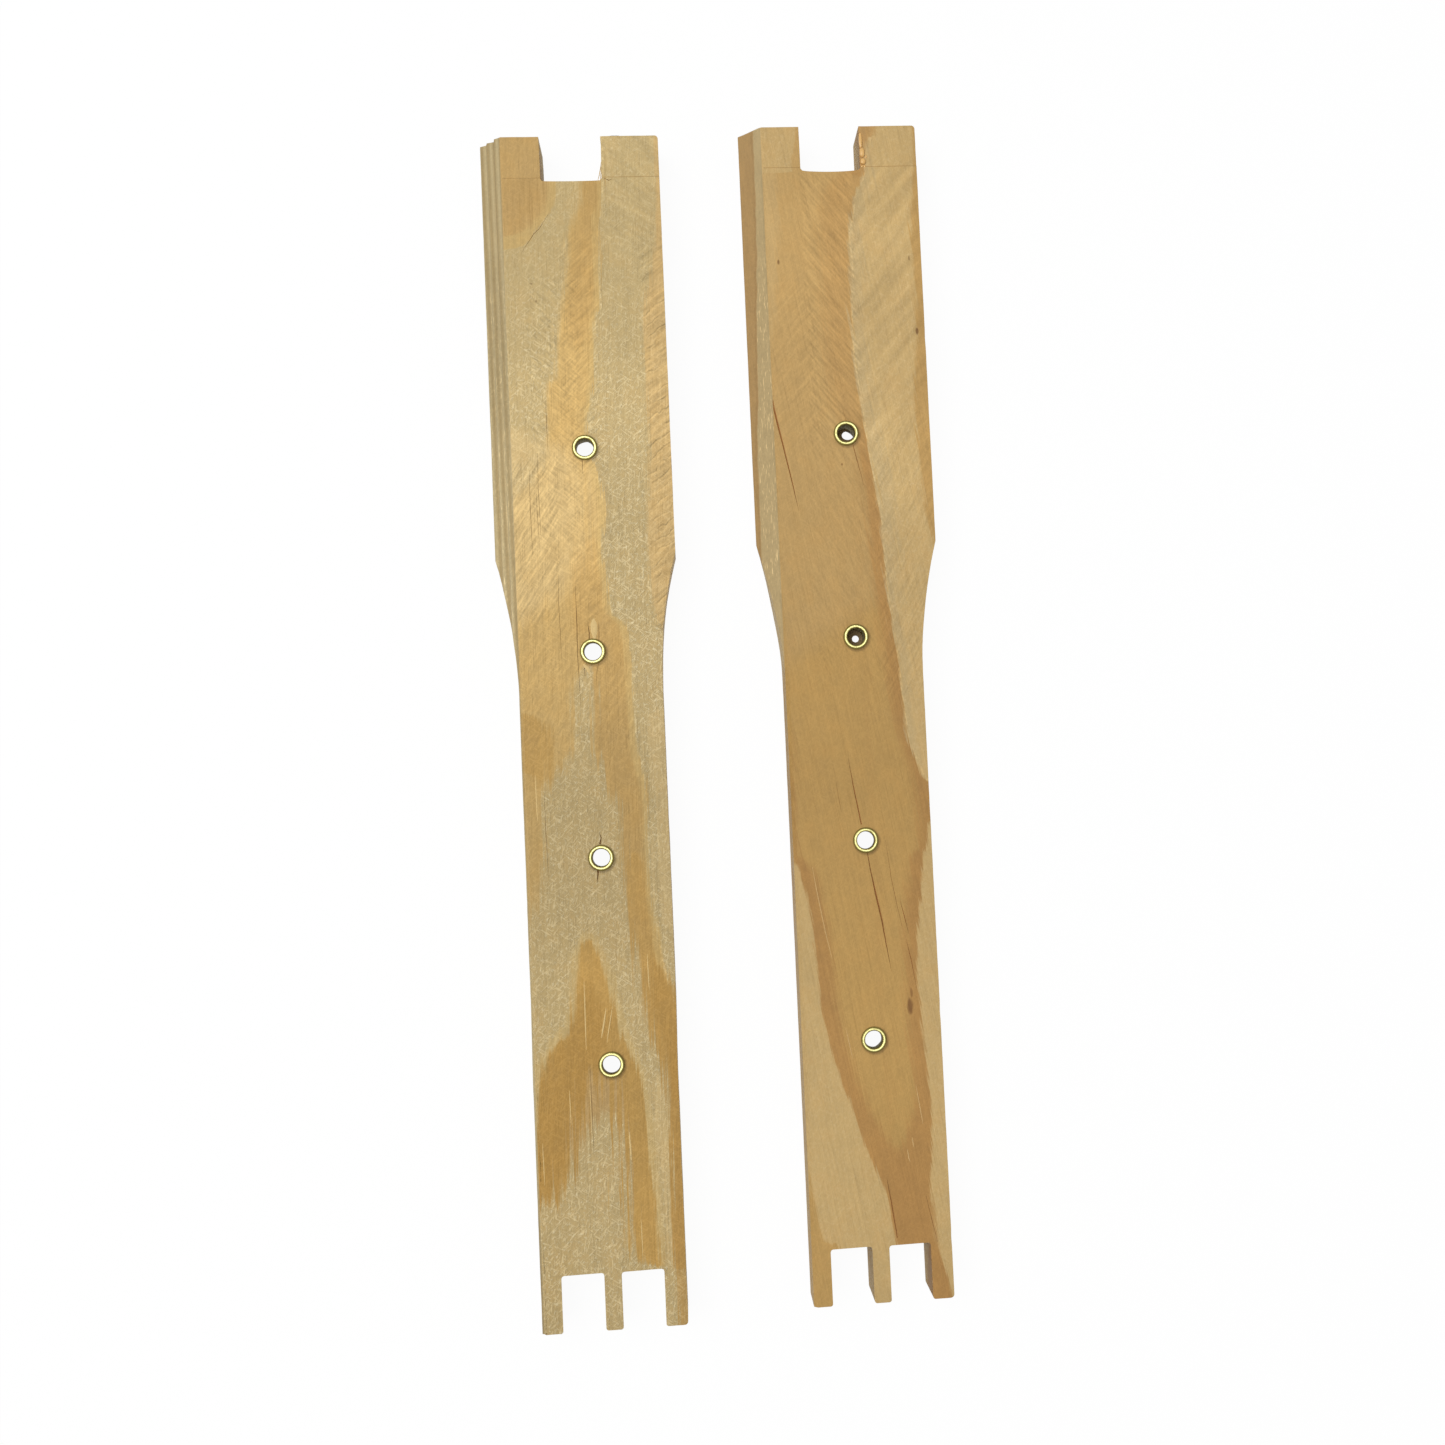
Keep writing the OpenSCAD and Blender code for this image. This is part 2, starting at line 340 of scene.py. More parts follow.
RIGHT_FIGURE = (
    # the deeper heart of the lower half
    Band("flame", {86: OUT, 112: -OUT}, OUT, 12, 0.3, 1, 2),
    # warm wood inside the sapwood line, and the brown band that follows it to the third eyelet
    Band("amber", {9: 3, 14: -1, 25: -2.5, 45: -2.5, 60: 0, 64: 3}, {9: 8, 60: 6, 64: 3}, 4, 0.5, 0.4, 6),
    Band("amber",
         {58: 5, 66: 3.2, 74: 3.8, 84: 4.4, 95: 5.2, 105: 6.4, 118: 7.6, 126: 9.4, 132: 10.8, 142: 11.4,
          148: 11},
         {58: 4, 66: 6, 74: 7.2, 90: 8.2, 105: 9.6, 120: 10.8, 126: 12.2, 132: OUT, 142: OUT, 148: 13},
         2.8, 0.4, 0.9, 4),
    Band("rim", -OUT, {8: -OUT, 9: -10.6, 20: -10.6, 30: -11.6, 40: -12.2, 46: -14, 50: -OUT},
         0.3, 1.6, 0.6, 4),
    Band("amber", -OUT, {112: -OUT, 120: -13.4, 132: -12.4, 144: -12.2, 150: -9.5}, 0.3, 1.4, 0.6, 5),
    # sapwood down the right of the head, greyer just outside the line
    Band("pale", SAPWOOD_LINE, OUT, 0.45, 0.3, 1, 1),
    Band("grey", {10: 6.5, 22: 3.3, 37: 3, 49: 3.3, 65: 5, 78: 6.8, 95: 7.5, 107: 8.8, 124: 10.5, 133: OUT},
         {10: 8.5, 22: 6, 37: 5.6, 49: 6, 65: 8, 78: 9.8, 95: 10, 107: 10.6, 124: 12.4, 133: 14},
         0.4, 3.2, 0.55, 6),
    Band("edge",
         {0: 17.4, 8: 17.2, 14: 16.4, 20: 16, 25: 15.8, 45: 15.8, 52: 15.2, 58: 14.8, 70: 15.2, 78: 15.8,
          83: 16.8, 88: OUT}, OUT, 0.8, 0.3, 0.95, 3),
    # the tips of the prongs
    Band("pale", -OUT, {0: -6.1, 3.5: -6.6, 6: -7.1, 9.2: -7.4, 9.5: -12.8, 9.8: -OUT}, 0.3, 0.5, 0.9, 0.5),
    Band("amber", {0: 4, 9: 4, 11: 9}, {0: 9.9, 1.6: 9.6, 2.8: 8, 4.2: 7.4, 9: 7.2, 11: 6},
         0.5, 1.2, 0.62, 2),
    # the two sapwood wedges beside the foot, and the brown rims of the heart between them
    Band("amber",
         {143: OUT, 147: 9.4, 155: 8.2, 165: 7.4, 180: 7.6, 190: 8.2, 197: 7, 204: 4, 210: 2, 232: 2}, OUT,
         2.4, 0.5, 0.95, 5),
    Band("amber", -OUT,
         {143: -OUT, 148: -9.6, 155: -8, 165: -6.9, 175: -6, 182: -4.6, 190: -2.6, 198: 0.8, 204: 5, 210: 9,
          232: 12}, 0.5, 2.8, 0.95, 5),
    Band("pale",
         {138: OUT, 140: 13.4, 144: 12.8, 147: 12.2, 153: 11.4, 158: 10.5, 163: 10, 170: 9.7, 178: 10,
          185: 10.5, 190: 11, 195: 11.2, 200: 11, 205: 10.7, 210: 10.2, 219: 10.3, 222: 11, 226: 12.2,
          229: 13.1, 231.8: 13.5}, OUT, 0.6, 0.3, 1, 1.5),
    Band("pale", -OUT,
         {143: -OUT, 145: -13.4, 147: -12.5, 150: -11.8, 155: -10.8, 159: -10.3, 165: -9.8, 170: -9.5,
          175: -9.2, 180: -8.2, 185: -7, 190: -5.7, 195: -4, 200: -2.5, 204: -1, 209: 1, 212: 2, 216: 2.7,
          220: 3.3, 232: 4.2}, 0.3, 0.5, 1, 1.5),
    Band("flame", -OUT, {203: -OUT, 206: -14, 210: -12.8, 219: -10.8, 221: -8, 232: -8}, 0.3, 1.2, 0.9, 6),
    Band("amber", {206: 12, 214: 10.2, 220: 9, 232: 9},
         {206: 10, 214: 10.8, 220: 11.2, 226: 12.2, 232: 13.4}, 0.6, 0.6, 0.7, 2),
)

# How light the tones are on the way down each bar, against their colours. Fuzz is how furry the wood is.
# The pale and gold curves are partly the wood's own tone and partly a painted sheen, highest 40 to 90 mm down
# the left bar.
LEFT_LIGHT = {
    "fuzz": {0: 0.45, 20: 0.5, 40: 0.8, 60: 0.95, 95: 1.05, 130: 1, 232: 1.05},
    "pale": {0: 1.04, 8: 1, 20: 0.95, 32: 1.01, 42: 1.04, 55: 1.15, 66: 1.06, 80: 1.03, 92: 1.03, 112: 1,
        132: 0.88, 150: 0.88, 170: 0.97, 200: 0.96, 232: 0.91},
    "gold": {0: 0.95, 14: 0.97, 27: 1.04, 40: 1.16, 52: 1.2, 62: 1.26, 70: 1.34, 80: 1.34, 88: 1.16,
        97: 1.06, 105: 1.04, 112: 0.98, 122: 0.9, 135: 0.86, 158: 0.84, 175: 0.84, 232: 0.88},
    "flame": {0: 1, 158: 1, 164: 1.1, 170: 1.04, 178: 0.97, 192: 0.95, 202: 1, 214: 1.05, 232: 1.05},
}
RIGHT_LIGHT = {
    "fuzz": {0: 1, 90: 1.2, 130: 0.9, 232: 1},
    "pale": {0: 1, 14: 1, 25: 1.06, 45: 0.99, 65: 1.11, 85: 0.96, 105: 0.95, 165: 0.95, 200: 0.98,
        232: 0.9},
    "gold": {0: 1.02, 12: 1.05, 25: 1.12, 40: 1.06, 60: 1.03, 80: 1, 95: 0.97, 115: 0.9, 130: 0.88,
        150: 0.92, 170: 0.94, 187: 0.99, 200: 0.96, 232: 0.92},
    "flame": {0: 1, 117: 1, 130: 0.95, 140: 0.98, 152: 1, 170: 1.02, 186: 1.06, 195: 1.02, 203: 1, 232: 1},
}

# Marks of the planer: fine strokes that climb to the right at slope degrees, in one part of the face.
# Their light streaks are partly the wood's own and partly a painted sheen along the planed strokes.
Strokes = namedtuple("Strokes", "slope width length light left right top bottom")

LEFT_STROKES = (
    Strokes(36, 0.34, 5, 0.7, 13, 18.5, 22, 99),
    Strokes(45, 0.24, 3, 0.55, -3, 4.5, 20, 98),
    Strokes(-44, 0.24, 3, 0.5, -9.5, 0.5, 28, 84),
    Strokes(57, 0.24, 5, 0.85, -13.6, -4.5, 64, 97),
    Strokes(-36, 0.55, 7, 0.36, 6.5, 18, -2, 24),
    Strokes(62, 0.3, 4, 0.35, -13.6, 9, 97, 122),
)
RIGHT_STROKES = (
    Strokes(-52, 0.26, 5, 0.62, -6, 4.5, 9, 64),
    Strokes(50, 0.95, 14, 0.5, 3.5, 17.5, 8, 66),
    Strokes(47, 0.3, 5, 0.3, -13, -4, 32, 64),
    Strokes(-60, 0.22, 7, 0.26, -7, 8.5, 62, 112),
    Strokes(60, 0.24, 7, 0.36, 6, 17.5, 60, 116),
)

# Scores of the saw: spacing apart, each a thin dark groove with a light lip below it.
Scores = namedtuple("Scores", "slope spacing depth left right top bottom")

LEFT_SCORES = (
    Scores(37, 1.9, 1, 13.6, 18.5, 26, 99),
    Scores(42, 1.5, 0.45, -1, 4.6, 26, 70),
    Scores(-42, 1.6, 0.4, -6.5, 0.5, 40, 72),
    Scores(38, 2.3, 0.45, 9.5, 13.6, 66, 99),
)
RIGHT_SCORES = (Scores(-57, 2.7, 0.16, -5, 7, 60, 84), Scores(52, 2.2, 0.16, 5, 13, 24, 60))

# Knots, specks and scuffs: (across, down, radius across, radius down, share).
LEFT_SPOTS = (
    (-8.2, 29.5, 0.22, 0.22, 0.5), (-7.4, 33, 0.2, 0.25, 0.5), (5.3, 31, 0.2, 0.2, 0.35),
    (14.4, 98.4, 0.5, 0.35, 0.3),
)
RIGHT_SPOTS = (
    (8, 175.4, 0.55, 1.5, 0.75), (8.4, 172.8, 0.25, 0.9, 0.5), (16.1, 42, 0.3, 0.7, 0.75),
    (-11, 27.5, 0.22, 0.55, 0.7), (-0.25, 68.4, 0.22, 0.25, 0.6), (15.2, 27.2, 0.15, 0.5, 0.6),
)


# All that one bar's pine is drawn from. Ground is the tone under the bands, lean is how far the fibres
# slope, seam is the line of the figure where the wood is torn, and split, bore and fibre are the screen
# colours of its torn wood.
Timber = namedtuple("Timber", "name figure light ground lean strokes scores spots seam split bore fibre")
TIMBER = {
    "left": Timber(
        "pale_pine", LEFT_FIGURE, LEFT_LIGHT, "pale", -0.6, LEFT_STROKES, LEFT_SCORES, LEFT_SPOTS,
        LEFT_FIGURE[0].right, (168, 130, 80), (196, 162, 108), (216, 186, 126),
    ),
    "right": Timber(
        "warm_pine", RIGHT_FIGURE, RIGHT_LIGHT, "gold", 9.6, RIGHT_STROKES, RIGHT_SCORES, RIGHT_SPOTS,
        SAPWOOD_LINE, (172, 122, 68), (142, 120, 84), (206, 172, 116),
    ),
}
VEE_CREASES = 1.37  # from one crease of the left bar's V edge to the next


def window(f, across, along, mark, beside, above, below):
    """1 in a mark's part of the face, with soft borders."""
    return (
        f.rise(across, mark.left - beside, mark.left + beside)
        * f.rise(across, mark.right + beside, mark.right - beside)
        * f.rise(along, mark.top - above, mark.top + above)
        * f.rise(along, mark.bottom + below, mark.bottom - below)
    )


def planed(f, across, along, strokes):
    """The planer's strokes, lighter and darker about 1, the light ones partly a painted sheen."""
    tone = 1.0
    for mark in strokes:
        field = f.noise((mark.length, mark.width * 2, 2.0), mark.slope, 1.0, seed=mark.slope)
        where = window(f, across, along, mark, 0.8, 2.5, 4.0)
        tone = tone + (field - 0.5) * where * mark.light
    return tone


def sawn(f, across, along, scores, broad, clouds):
    """The saw's scores: below 0 in a groove, above 0 on its lip."""
    depth = 0.0
    for mark in scores:
        slope = math.radians(mark.slope)
        climb = (across * math.sin(slope) + along * math.cos(slope)) / mark.spacing
        climb = climb + (broad - 0.5) * 1.6 + (clouds - 0.5) * 1.1
        where = window(f, across, along, mark, 0.7, 3.0, 3.0)
        patches = f.noise((3.3, mark.spacing * 1.1, 3.0), mark.slope, 1.0, seed=mark.spacing)
        where = where * f.rise(patches, 0.38, 0.62)
        groove = f.rise(abs(f.math("FRACT", climb) - 0.5), 0.10, 0.0)
        lip = f.rise(abs(f.math("FRACT", climb - 0.16) - 0.5), 0.12, 0.0)
        depth = depth + (lip * 0.15 - groove * 0.27) * where * mark.depth
    return depth


def lying_hairs(f):
    """1 on short cut hairs that lie every way."""
    hairs = 0.0
    for slope in (42.0, -33.0, 78.0):
        lying = f.noise((1.35, 0.25, 1.0), slope, 1.0, 0.4, warp=0.5, seed=slope)
        hairs = f.math("MAXIMUM", hairs, f.rise(lying, 0.54, 0.68))
    return hairs


def pine(side, look):
    """The pine of one bar: its figure, fibres, cutter marks, end grain and V edge."""
    timber = TIMBER[side]
    f = finish(timber.name)
    left, lean, light = side == "left", timber.lean, timber.light
    across, along, up = f.place()
    sideways, end = f.facing()
    pale_light, gold_light, flame_light = (f.line(along, light[part]) for part in ("pale", "gold", "flame"))

    tones = {
        "pale": ("sapwood", pale_light),
        "gold": ("heartwood", gold_light),
        "amber": ("latewood", gold_light),
        "rim": ("yellow_rim", pale_light * 0.8 + gold_light * 0.2),
        "edge": ("edge_strip", pale_light),
        "grey": ("vee", pale_light),
        "patch": ("patch", 1.0),
        "flame": ("flame", flame_light),
        "ember": ("ember", 1.0),
        "straw": ("straw", pale_light),
        "foot": ("foot", 1.0),
    }

    def tone_of(name):
        setting, lightness = tones[name]
        return f.scale((*getattr(look, setting),), lightness)

    deep = THICKNESS - up
    broad = f.noise((4.5, 20.0, 5.0), lean)
    streaks = f.noise((0.67, 28.0, 0.67), lean, 4.0, 0.65)
    fibres = f.noise((0.2, 5.0, 0.2), lean, 2.0, 0.6)
    pores = f.noise((0.14, 8.0, 0.14), lean, 1.0, seed=1.0)
    clouds = f.noise((2.9, 4.0, 2.5), 0.0, 3.0, 0.55, seed=8.0)
    grains = f.noise((0.5, 0.62, 0.5), 0.0, 2.0, 0.55)

    # the figure's lines wander a little, and lean as they go down through the wood
    wandering = across + (broad - 0.5) * 0.9 + (fibres - 0.5) * 1.6 + deep * 0.55
    colour = tone_of(timber.ground)
    warm = 0.0 if timber.ground == "pale" else 1.0
    for band in timber.figure:
        edge = wandering + (streaks - 0.5) * band.feather
        from_left = f.rise(edge - f.line(along, band.left), -band.left_soft / 2, band.left_soft / 2)
        from_right = f.rise(f.line(along, band.right) - edge, -band.right_soft / 2, band.right_soft / 2)
        mask = from_left * from_right * band.share
        colour = f.mix(mask, colour, tone_of(band.tone))
        warm = warm * (1.0 - mask) + (mask if band.tone not in ("pale", "grey") else 0.0)

    tone = planed(f, across, along, timber.strokes)
    marks = tone - 1.0
    scores = sawn(f, across, along, timber.scores, broad, clouds)

    # the cut fibres: hairs and small bright flecks, most of them in the pale wood
    broken = f.noise((0.9, 0.9, 0.9), 0.0, 1.0, seed=9.0)
    hairs = lying_hairs(f)
    flecks = f.rise(f.noise((0.5, 0.67, 0.5), 0.0, 0.0, seed=9.0), 0.62, 0.73)
    downy = f.line(along, light["fuzz"]) * look.fuzz
    furry = downy * (1.0 - warm * 0.95)
    # glints: short streaks that light up the V edge as painted highlights
    glints = f.rise(f.noise((0.22, 1.8, 0.22), 0.0, 1.0, seed=30.0), 0.60, 0.72)
    tone = (
        tone
        + scores
        + (streaks - 0.5) * 0.24
        + (fibres - 0.5) * 0.17
        + (clouds - 0.5) * (0.26 + furry * 0.06)
        + (grains - 0.5) * (0.14 + furry * 0.10)
        + (hairs * 0.12 - 0.09) * furry
        + (hairs - 0.4) * warm * (downy * 0.08 + 0.05)
        + f.rise(abs(across - f.line(along, timber.seam) - 0.2), 0.3, 0.0) * f.rise(broken, 0.46, 0.6) * 0.2
        - f.rise(pores, 0.60, 0.72) * 0.05
    )
    browned = f.rise(clouds, 0.45, 0.7) * 0.14 + f.rise(pores, 0.58, 0.75) * 0.10
    colour = f.mix(browned, colour, (*look.latewood,))
    colour = f.mix((hairs * 0.34 + flecks * 0.40) * furry, colour, f.scale((*look.fibre,), pale_light))

    # painted shadow of each eyelet's rim on the wood, falling to its lower right; then knots and specks
    for number in NUMBERS:
        x, down = eyelet_place(side, number)
        ring = ((across - x - 0.20) ** 2 + (along - down - 0.24) ** 2) ** 0.5
        tone = tone - f.rise(ring, 2.95, 2.4) * 0.42
    knots = 0.0
    for x, down, wide, tall, share in timber.spots:
        away = ((across - x) / wide) ** 2 + ((along - down) / tall) ** 2
        knots = f.rise(away + (fibres - 0.5) * 2.0, 1.6, 0.3) * share + knots
    colour = f.mix(knots, colour, (*look.knot,))
    colour = f.scale(colour, tone)

    # end grain: growth rings and a darker, more thirsty tone
    rings = f.math("SINE", ((across - 9) ** 2 + (up + 21) ** 2) ** 0.5 * 2.1 + (broad - 0.5) * 3)
    cut_end = f.mix(f.rise(rings, -0.2, 1.0) * 0.55, (*look.end_grain,), (*look.latewood,))
    cut_end = f.scale(cut_end, 0.86 + grains * 0.2)
    colour = f.mix(f.rise(end, 0.55, 0.8), colour, cut_end)

    # the milled V edge: the left bar's creases in painted shade, the right bar brown outside and pale inside
    vee = f.rise(-SHOULDER - 0.05 - across, 0.0, 0.25) * f.rise(end, 0.6, 0.4)
    if left:
        creased = across + 14.3 - (along - 35) * 0.01 + (broad - 0.5) * 0.25
        outer = 0.5 + f.math("COSINE", creased * (math.tau / VEE_CREASES)) * 0.5
        outer = outer * 0.8 + (clouds - 0.5) * 0.5
    else:
        border = f.line(along, VEE_LINE) - across + (clouds - 0.5) * 0.8
        outer = f.rise(border, -0.12, 0.12)
        # a thin line of painted shade in the groove between the two halves
        tone = tone - f.rise(abs(border - 0.25), 0.35, 0.0) * 0.10
    # a thin line of painted shade along the shoulder of the V edge, down to about 100 mm
    tone = tone - f.rise(abs(across + SHOULDER + 0.25), 0.35, 0.0) * f.rise(along, 106, 96) * 0.10
    # painted shade on the left edge of the left bar's foot, where its side wall shows
    if left:
        tone = tone - f.rise(across, -12.9, -13.5) * f.rise(along, 160, 205) * 0.16
    # painted highlights on the V edge's ridges, partly white cut fibres, 16 to 100 mm down
    shine = f.rise(along, 16, 40) * f.rise(along, 100, 88)
    milled = f.mix(outer, (*look.vee,), (*look.vee_outer,))
    lightness = f.rise(along, 20, 70) * 0.08 + 0.94 if left else 0.98
    milled = f.scale(milled, lightness + (tone - 1.0) * 0.9 + glints * (1.0 - outer) * 0.65 * shine)
    colour = f.mix(vee, colour, milled)

    # the walls of the notch and slots in painted shade, and the bar's long sides
    side_wall = f.rise(sideways, 0.7, 0.95) * (1.0 - vee)
    outside = side_wall * f.rise(abs(across), 12.2, 12.8)
    colour = f.scale(colour, 1.0 - (side_wall - outside) * look.side_shade)
    colour = f.mix(outside * 0.9, colour, f.scale((*look.side,), 0.8 + streaks * 0.4))

    relief = (
        (fibres - 0.5) * 0.045
        + (streaks - 0.5) * 0.03
        + (grains - 0.5) * 0.07 * furry
        + hairs * 0.06 * furry
        + flecks * 0.03 * furry
        + marks * 0.05
        + scores * 0.12
        - f.rise(pores, 0.60, 0.72) * 0.02
    )
    dull = 0.62 + (clouds - 0.5) * 0.3 - glints * 0.08
    return f.surface(colour, dull, relief, look.relief, **{"Specular IOR Level": 0.22})


def torn_wood(name, screen, depth):
    """Wood that no planer has smoothed: inside a split or a drilled hole, or a lifted fibre."""
    f = finish(name)
    torn = f.noise((0.25, 0.83, 0.25), 0.0, 3.0, 0.6)
    return f.surface(f.scale(tint(*screen), 0.75 + torn * 0.5), 0.8 + (torn - 0.5) * 0.2, torn, depth)


CREST = 2.05  # how far out the rim of an eyelet is highest


def brass(name, look):
    """Stamped brass: a painted highlight along the rolled rim, and dull olive, partly tarnish and partly
    painted shade, in the barrel and in the rim's crease.
    """
    f = finish(name)
    across, along, up = f.place()
    radius = (across**2 + along**2) ** 0.5
    worn = f.noise((0.38, 0.38, 0.38), 0.0, 3.0, 0.6)
    streaked = f.noise((0.11, 0.11, 0.7), 0.0, 2.0, 0.6)
    # crest: the painted highlight along the top of the rolled rim
    crest = f.rise(up + (worn - 0.5) * 0.012, look.highlight_from / MM, look.highlight_from / MM + 0.05)
    crest = crest * f.rise(abs(radius - CREST + (worn - 0.5) * 0.2), 0.22, 0.05)
    colour = f.mix(crest, (*look.tarnish_and_shade,), (*look.brass,))
    colour = f.scale(colour, 0.76 + worn * 0.34)
    dull = 0.34 + worn * 0.2 + (1.0 - crest) * 0.14
    return f.surface(colour, dull, worn * 0.04 + streaked * 0.02, 1.0, Metallic=1.0)


def amber_resin(name, look):
    """Dried resin, cloudy and half dull."""
    f = finish(name)
    cloudy = f.noise((0.33, 0.33, 0.33))
    return f.surface(f.scale((*look.resin,), 0.85 + cloudy * 0.3), 0.22 + cloudy * 0.15, cloudy, 0.02)


# ---- mesh tools, in millimetres


def solid(name, bm, material):
    """A new object from a bmesh, which it frees."""
    bmesh.ops.recalc_face_normals(bm, faces=bm.faces)
    mesh = bpy.data.meshes.new(name)
    bm.to_mesh(mesh)
    bm.free()
    mesh.materials.append(material)
    made = bpy.data.objects.new(name, mesh)
    bpy.context.scene.collection.objects.link(made)
    return made


def skin(bm, first, second):
    """Joins two closed rings of vertices with faces."""
    for i in range(len(first)):
        j = (i + 1) % len(first)
        bm.faces.new((first[i], first[j], second[j], second[i]))


def loft(bm, rings):
    """Adds a closed solid through rings of points that all have the same count."""
    rows = [[bm.verts.new(point) for point in ring] for ring in rings]
    for pair in zip(rows, rows[1:]):
        skin(bm, *pair)
    bm.faces.new(list(reversed(rows[0])))
    bm.faces.new(rows[-1])


def oval(radius_x, radius_y, x, y, z):
    """A level ring of points."""
    angles = (math.tau * i / 64 for i in range(64))
    return [(x + radius_x * math.cos(a), y + radius_y * math.sin(a), z) for a in angles]


def baked(piece):
    """Applies a piece's modifiers to its mesh."""
    mesh = bpy.data.meshes.new_from_object(piece.evaluated_get(bpy.context.evaluated_depsgraph_get()))
    old, piece.data = piece.data, mesh
    piece.modifiers.clear()
    bpy.data.meshes.remove(old)


def cut(piece, cutter):
    """Takes a cutter out of a piece. The cut faces keep the cutter's material."""
    boolean = piece.modifiers.new("cut", "BOOLEAN")
    boolean.operation, boolean.solver, boolean.object = "DIFFERENCE", "EXACT", cutter
    boolean.material_mode = "TRANSFER"
    baked(piece)
    bpy.data.meshes.remove(cutter.data)


# ---- the end bars

# The V edge's upper face, out from the shoulder and up from the back: stepped by a nicked cutter, or plain.
STEPPED_VEE = ((0.4, 8.95), (1.3, 8.45), (1.55, 7.2), (2.95, 6.6), (3.2, 5.65))
PLAIN_VEE = ((0.5, 9.0), (1.0, 8.45), (1.55, 7.85), (2.35, 7.0), (3.4, 5.95))

# Splits along the grain: (across, down, half width) along each, then its depth. A point without a width is
# sharp.
SHARP = 0.015
LEFT_SPLITS = (
    (((-6.3, 52.8), (-6.28, 57, 0.05), (-6.25, 62.5)), 0.4),
    (((-8.3, 63), (-8.35, 71, 0.039), (-8.2, 80)), 0.4),
    (((-10, 66), (-10.05, 74, 0.05), (-9.9, 83)), 0.45),
    (((-8.8, 71), (-8.75, 75, 0.039), (-8.6, 80.5)), 0.35),
    (((-5.2, 84), (-5.3, 93, 0.039), (-5.1, 105)), 0.35),
    (((-2, 89), (-1.95, 96, 0.066), (-2.05, 103, 0.05), (-1.8, 113)), 0.45),
    (((-9.5, 129), (-9.45, 137, 0.044), (-9.3, 145.5)), 0.35),
    (((-2.8, 181.5), (-2.75, 190, 0.055), (-2.7, 199)), 0.4),
    (((-4.3, 15.6), (-6.2, 18.5, 0.05), (-7.4, 19.6, 0.066), (-10.2, 23.8)), 0.3),
    (((0.15, 96.5), (0.35, 98.5, 0.088), (0.3, 100.2, 0.044)), 0.5),
    (((2.15, 96.2), (2.25, 98.6, 0.061), (2.1, 100.4, 0.028)), 0.4),
    (((-0.4, 104.4, 0.033), (-0.9, 105.6, 0.066), (-0.75, 107)), 0.4),
    (((1.9, 104.6, 0.028), (1.5, 106.4, 0.033), (1.2, 109.5)), 0.3),
    (((0.75, 137.3), (1.05, 138.3, 0.09), (0.8, 139.6, 0.16)), 0.7),
    (((0.3, 144.1, 0.24), (0.2, 145.3, 0.15), (-0.05, 147)), 0.7),
    (((0.35, 64.7, 0.066), (0.3, 66.2, 0.033), (0.35, 67.4)), 0.3),
    (((6.3, 8.75), (7, 8.7, 0.039), (7.7, 9.05, 0.088), (8.4, 8.8)), 0.4),
)
RIGHT_SPLITS = (
    (((-13.5, 54, 0.06), (-13.2, 57, 0.2), (-12.5, 60.5, 0.19), (-11.4, 66, 0.13), (-10.2, 72, 0.11),
     (-9.2, 77.5)), 0.4),
    (((-1.8, 126.5, 0.02), (-0.9, 133, 0.11), (0.2, 139.6, 0.13)), 0.4),
    (((1.1, 145.2, 0.07), (1.6, 149, 0.09), (2.4, 153.5, 0.18), (3.3, 158.5, 0.15), (3.9, 163, 0.09),
     (4.7, 168.5)), 0.5),
    (((4.8, 143), (5.5, 150, 0.045), (6.3, 155, 0.04), (7.2, 160)), 0.3),
    (((7, 154.5), (7.8, 158, 0.1), (8.4, 161.2)), 0.3),
    (((7.9, 162.5), (8.7, 166.5, 0.09), (9.5, 172)), 0.3),
    (((-4.4, 131), (-4, 134.5, 0.04), (-3.6, 137)), 0.25),
    (((1.8, 208), (2.6, 213.5, 0.13), (3.3, 219.6, 0.09)), 0.4),
    (((9.3, 212), (10.2, 216.5, 0.06), (11.1, 221, 0.03)), 0.3),
    (((0.5, 57.5), (1.6, 62, 0.06), (2.9, 68, 0.075), (4, 73)), 0.3),
)

# How deep each eyelet's barrel reaches, number 1 to 4, and the right bar's two holes that torn wood half
# fills: (up, across, down, radius across, radius down) from the eyelet's middle.
BARRELS = {"left": (2.6, 1.4, 2.6, 1.5), "right": (3.6, 3.6, 1.4, 2.2)}
TORN_BORES = {
    1: ((5.4, 0, 0, HOLE, HOLE), (5, 0.78, -0.62, 1.15, 0.88), (4.5, 0.78, -0.62, 1.2, 0.95),
        (-1, 0.2, -0.2, 2.8, 2.8)),
    2: ((5.4, 0, 0, HOLE, HOLE), (5, 0.39, 0, 0.68, 0.66), (4.4, 0.39, 0, 0.75, 0.75),
        (-1, 0.2, 0, 2.4, 2.4)),
}


def reach(down, corner):
    """Half the bar's width at a distance below the tips, without the V edge."""
    if down < SIDE_CUT_START:
        half = HALF_HEAD
    elif down < SIDE_CUT_END:
        half = HALF_FOOT + CUTTER_RADIUS - math.sqrt(CUTTER_RADIUS**2 - (SIDE_CUT_END - down) ** 2)
    else:
        half = HALF_FOOT
    short = max(corner - down, corner - (LENGTH - down), 0.0)
    return half - (corner - math.sqrt(max(corner**2 - short**2, 0.0)))


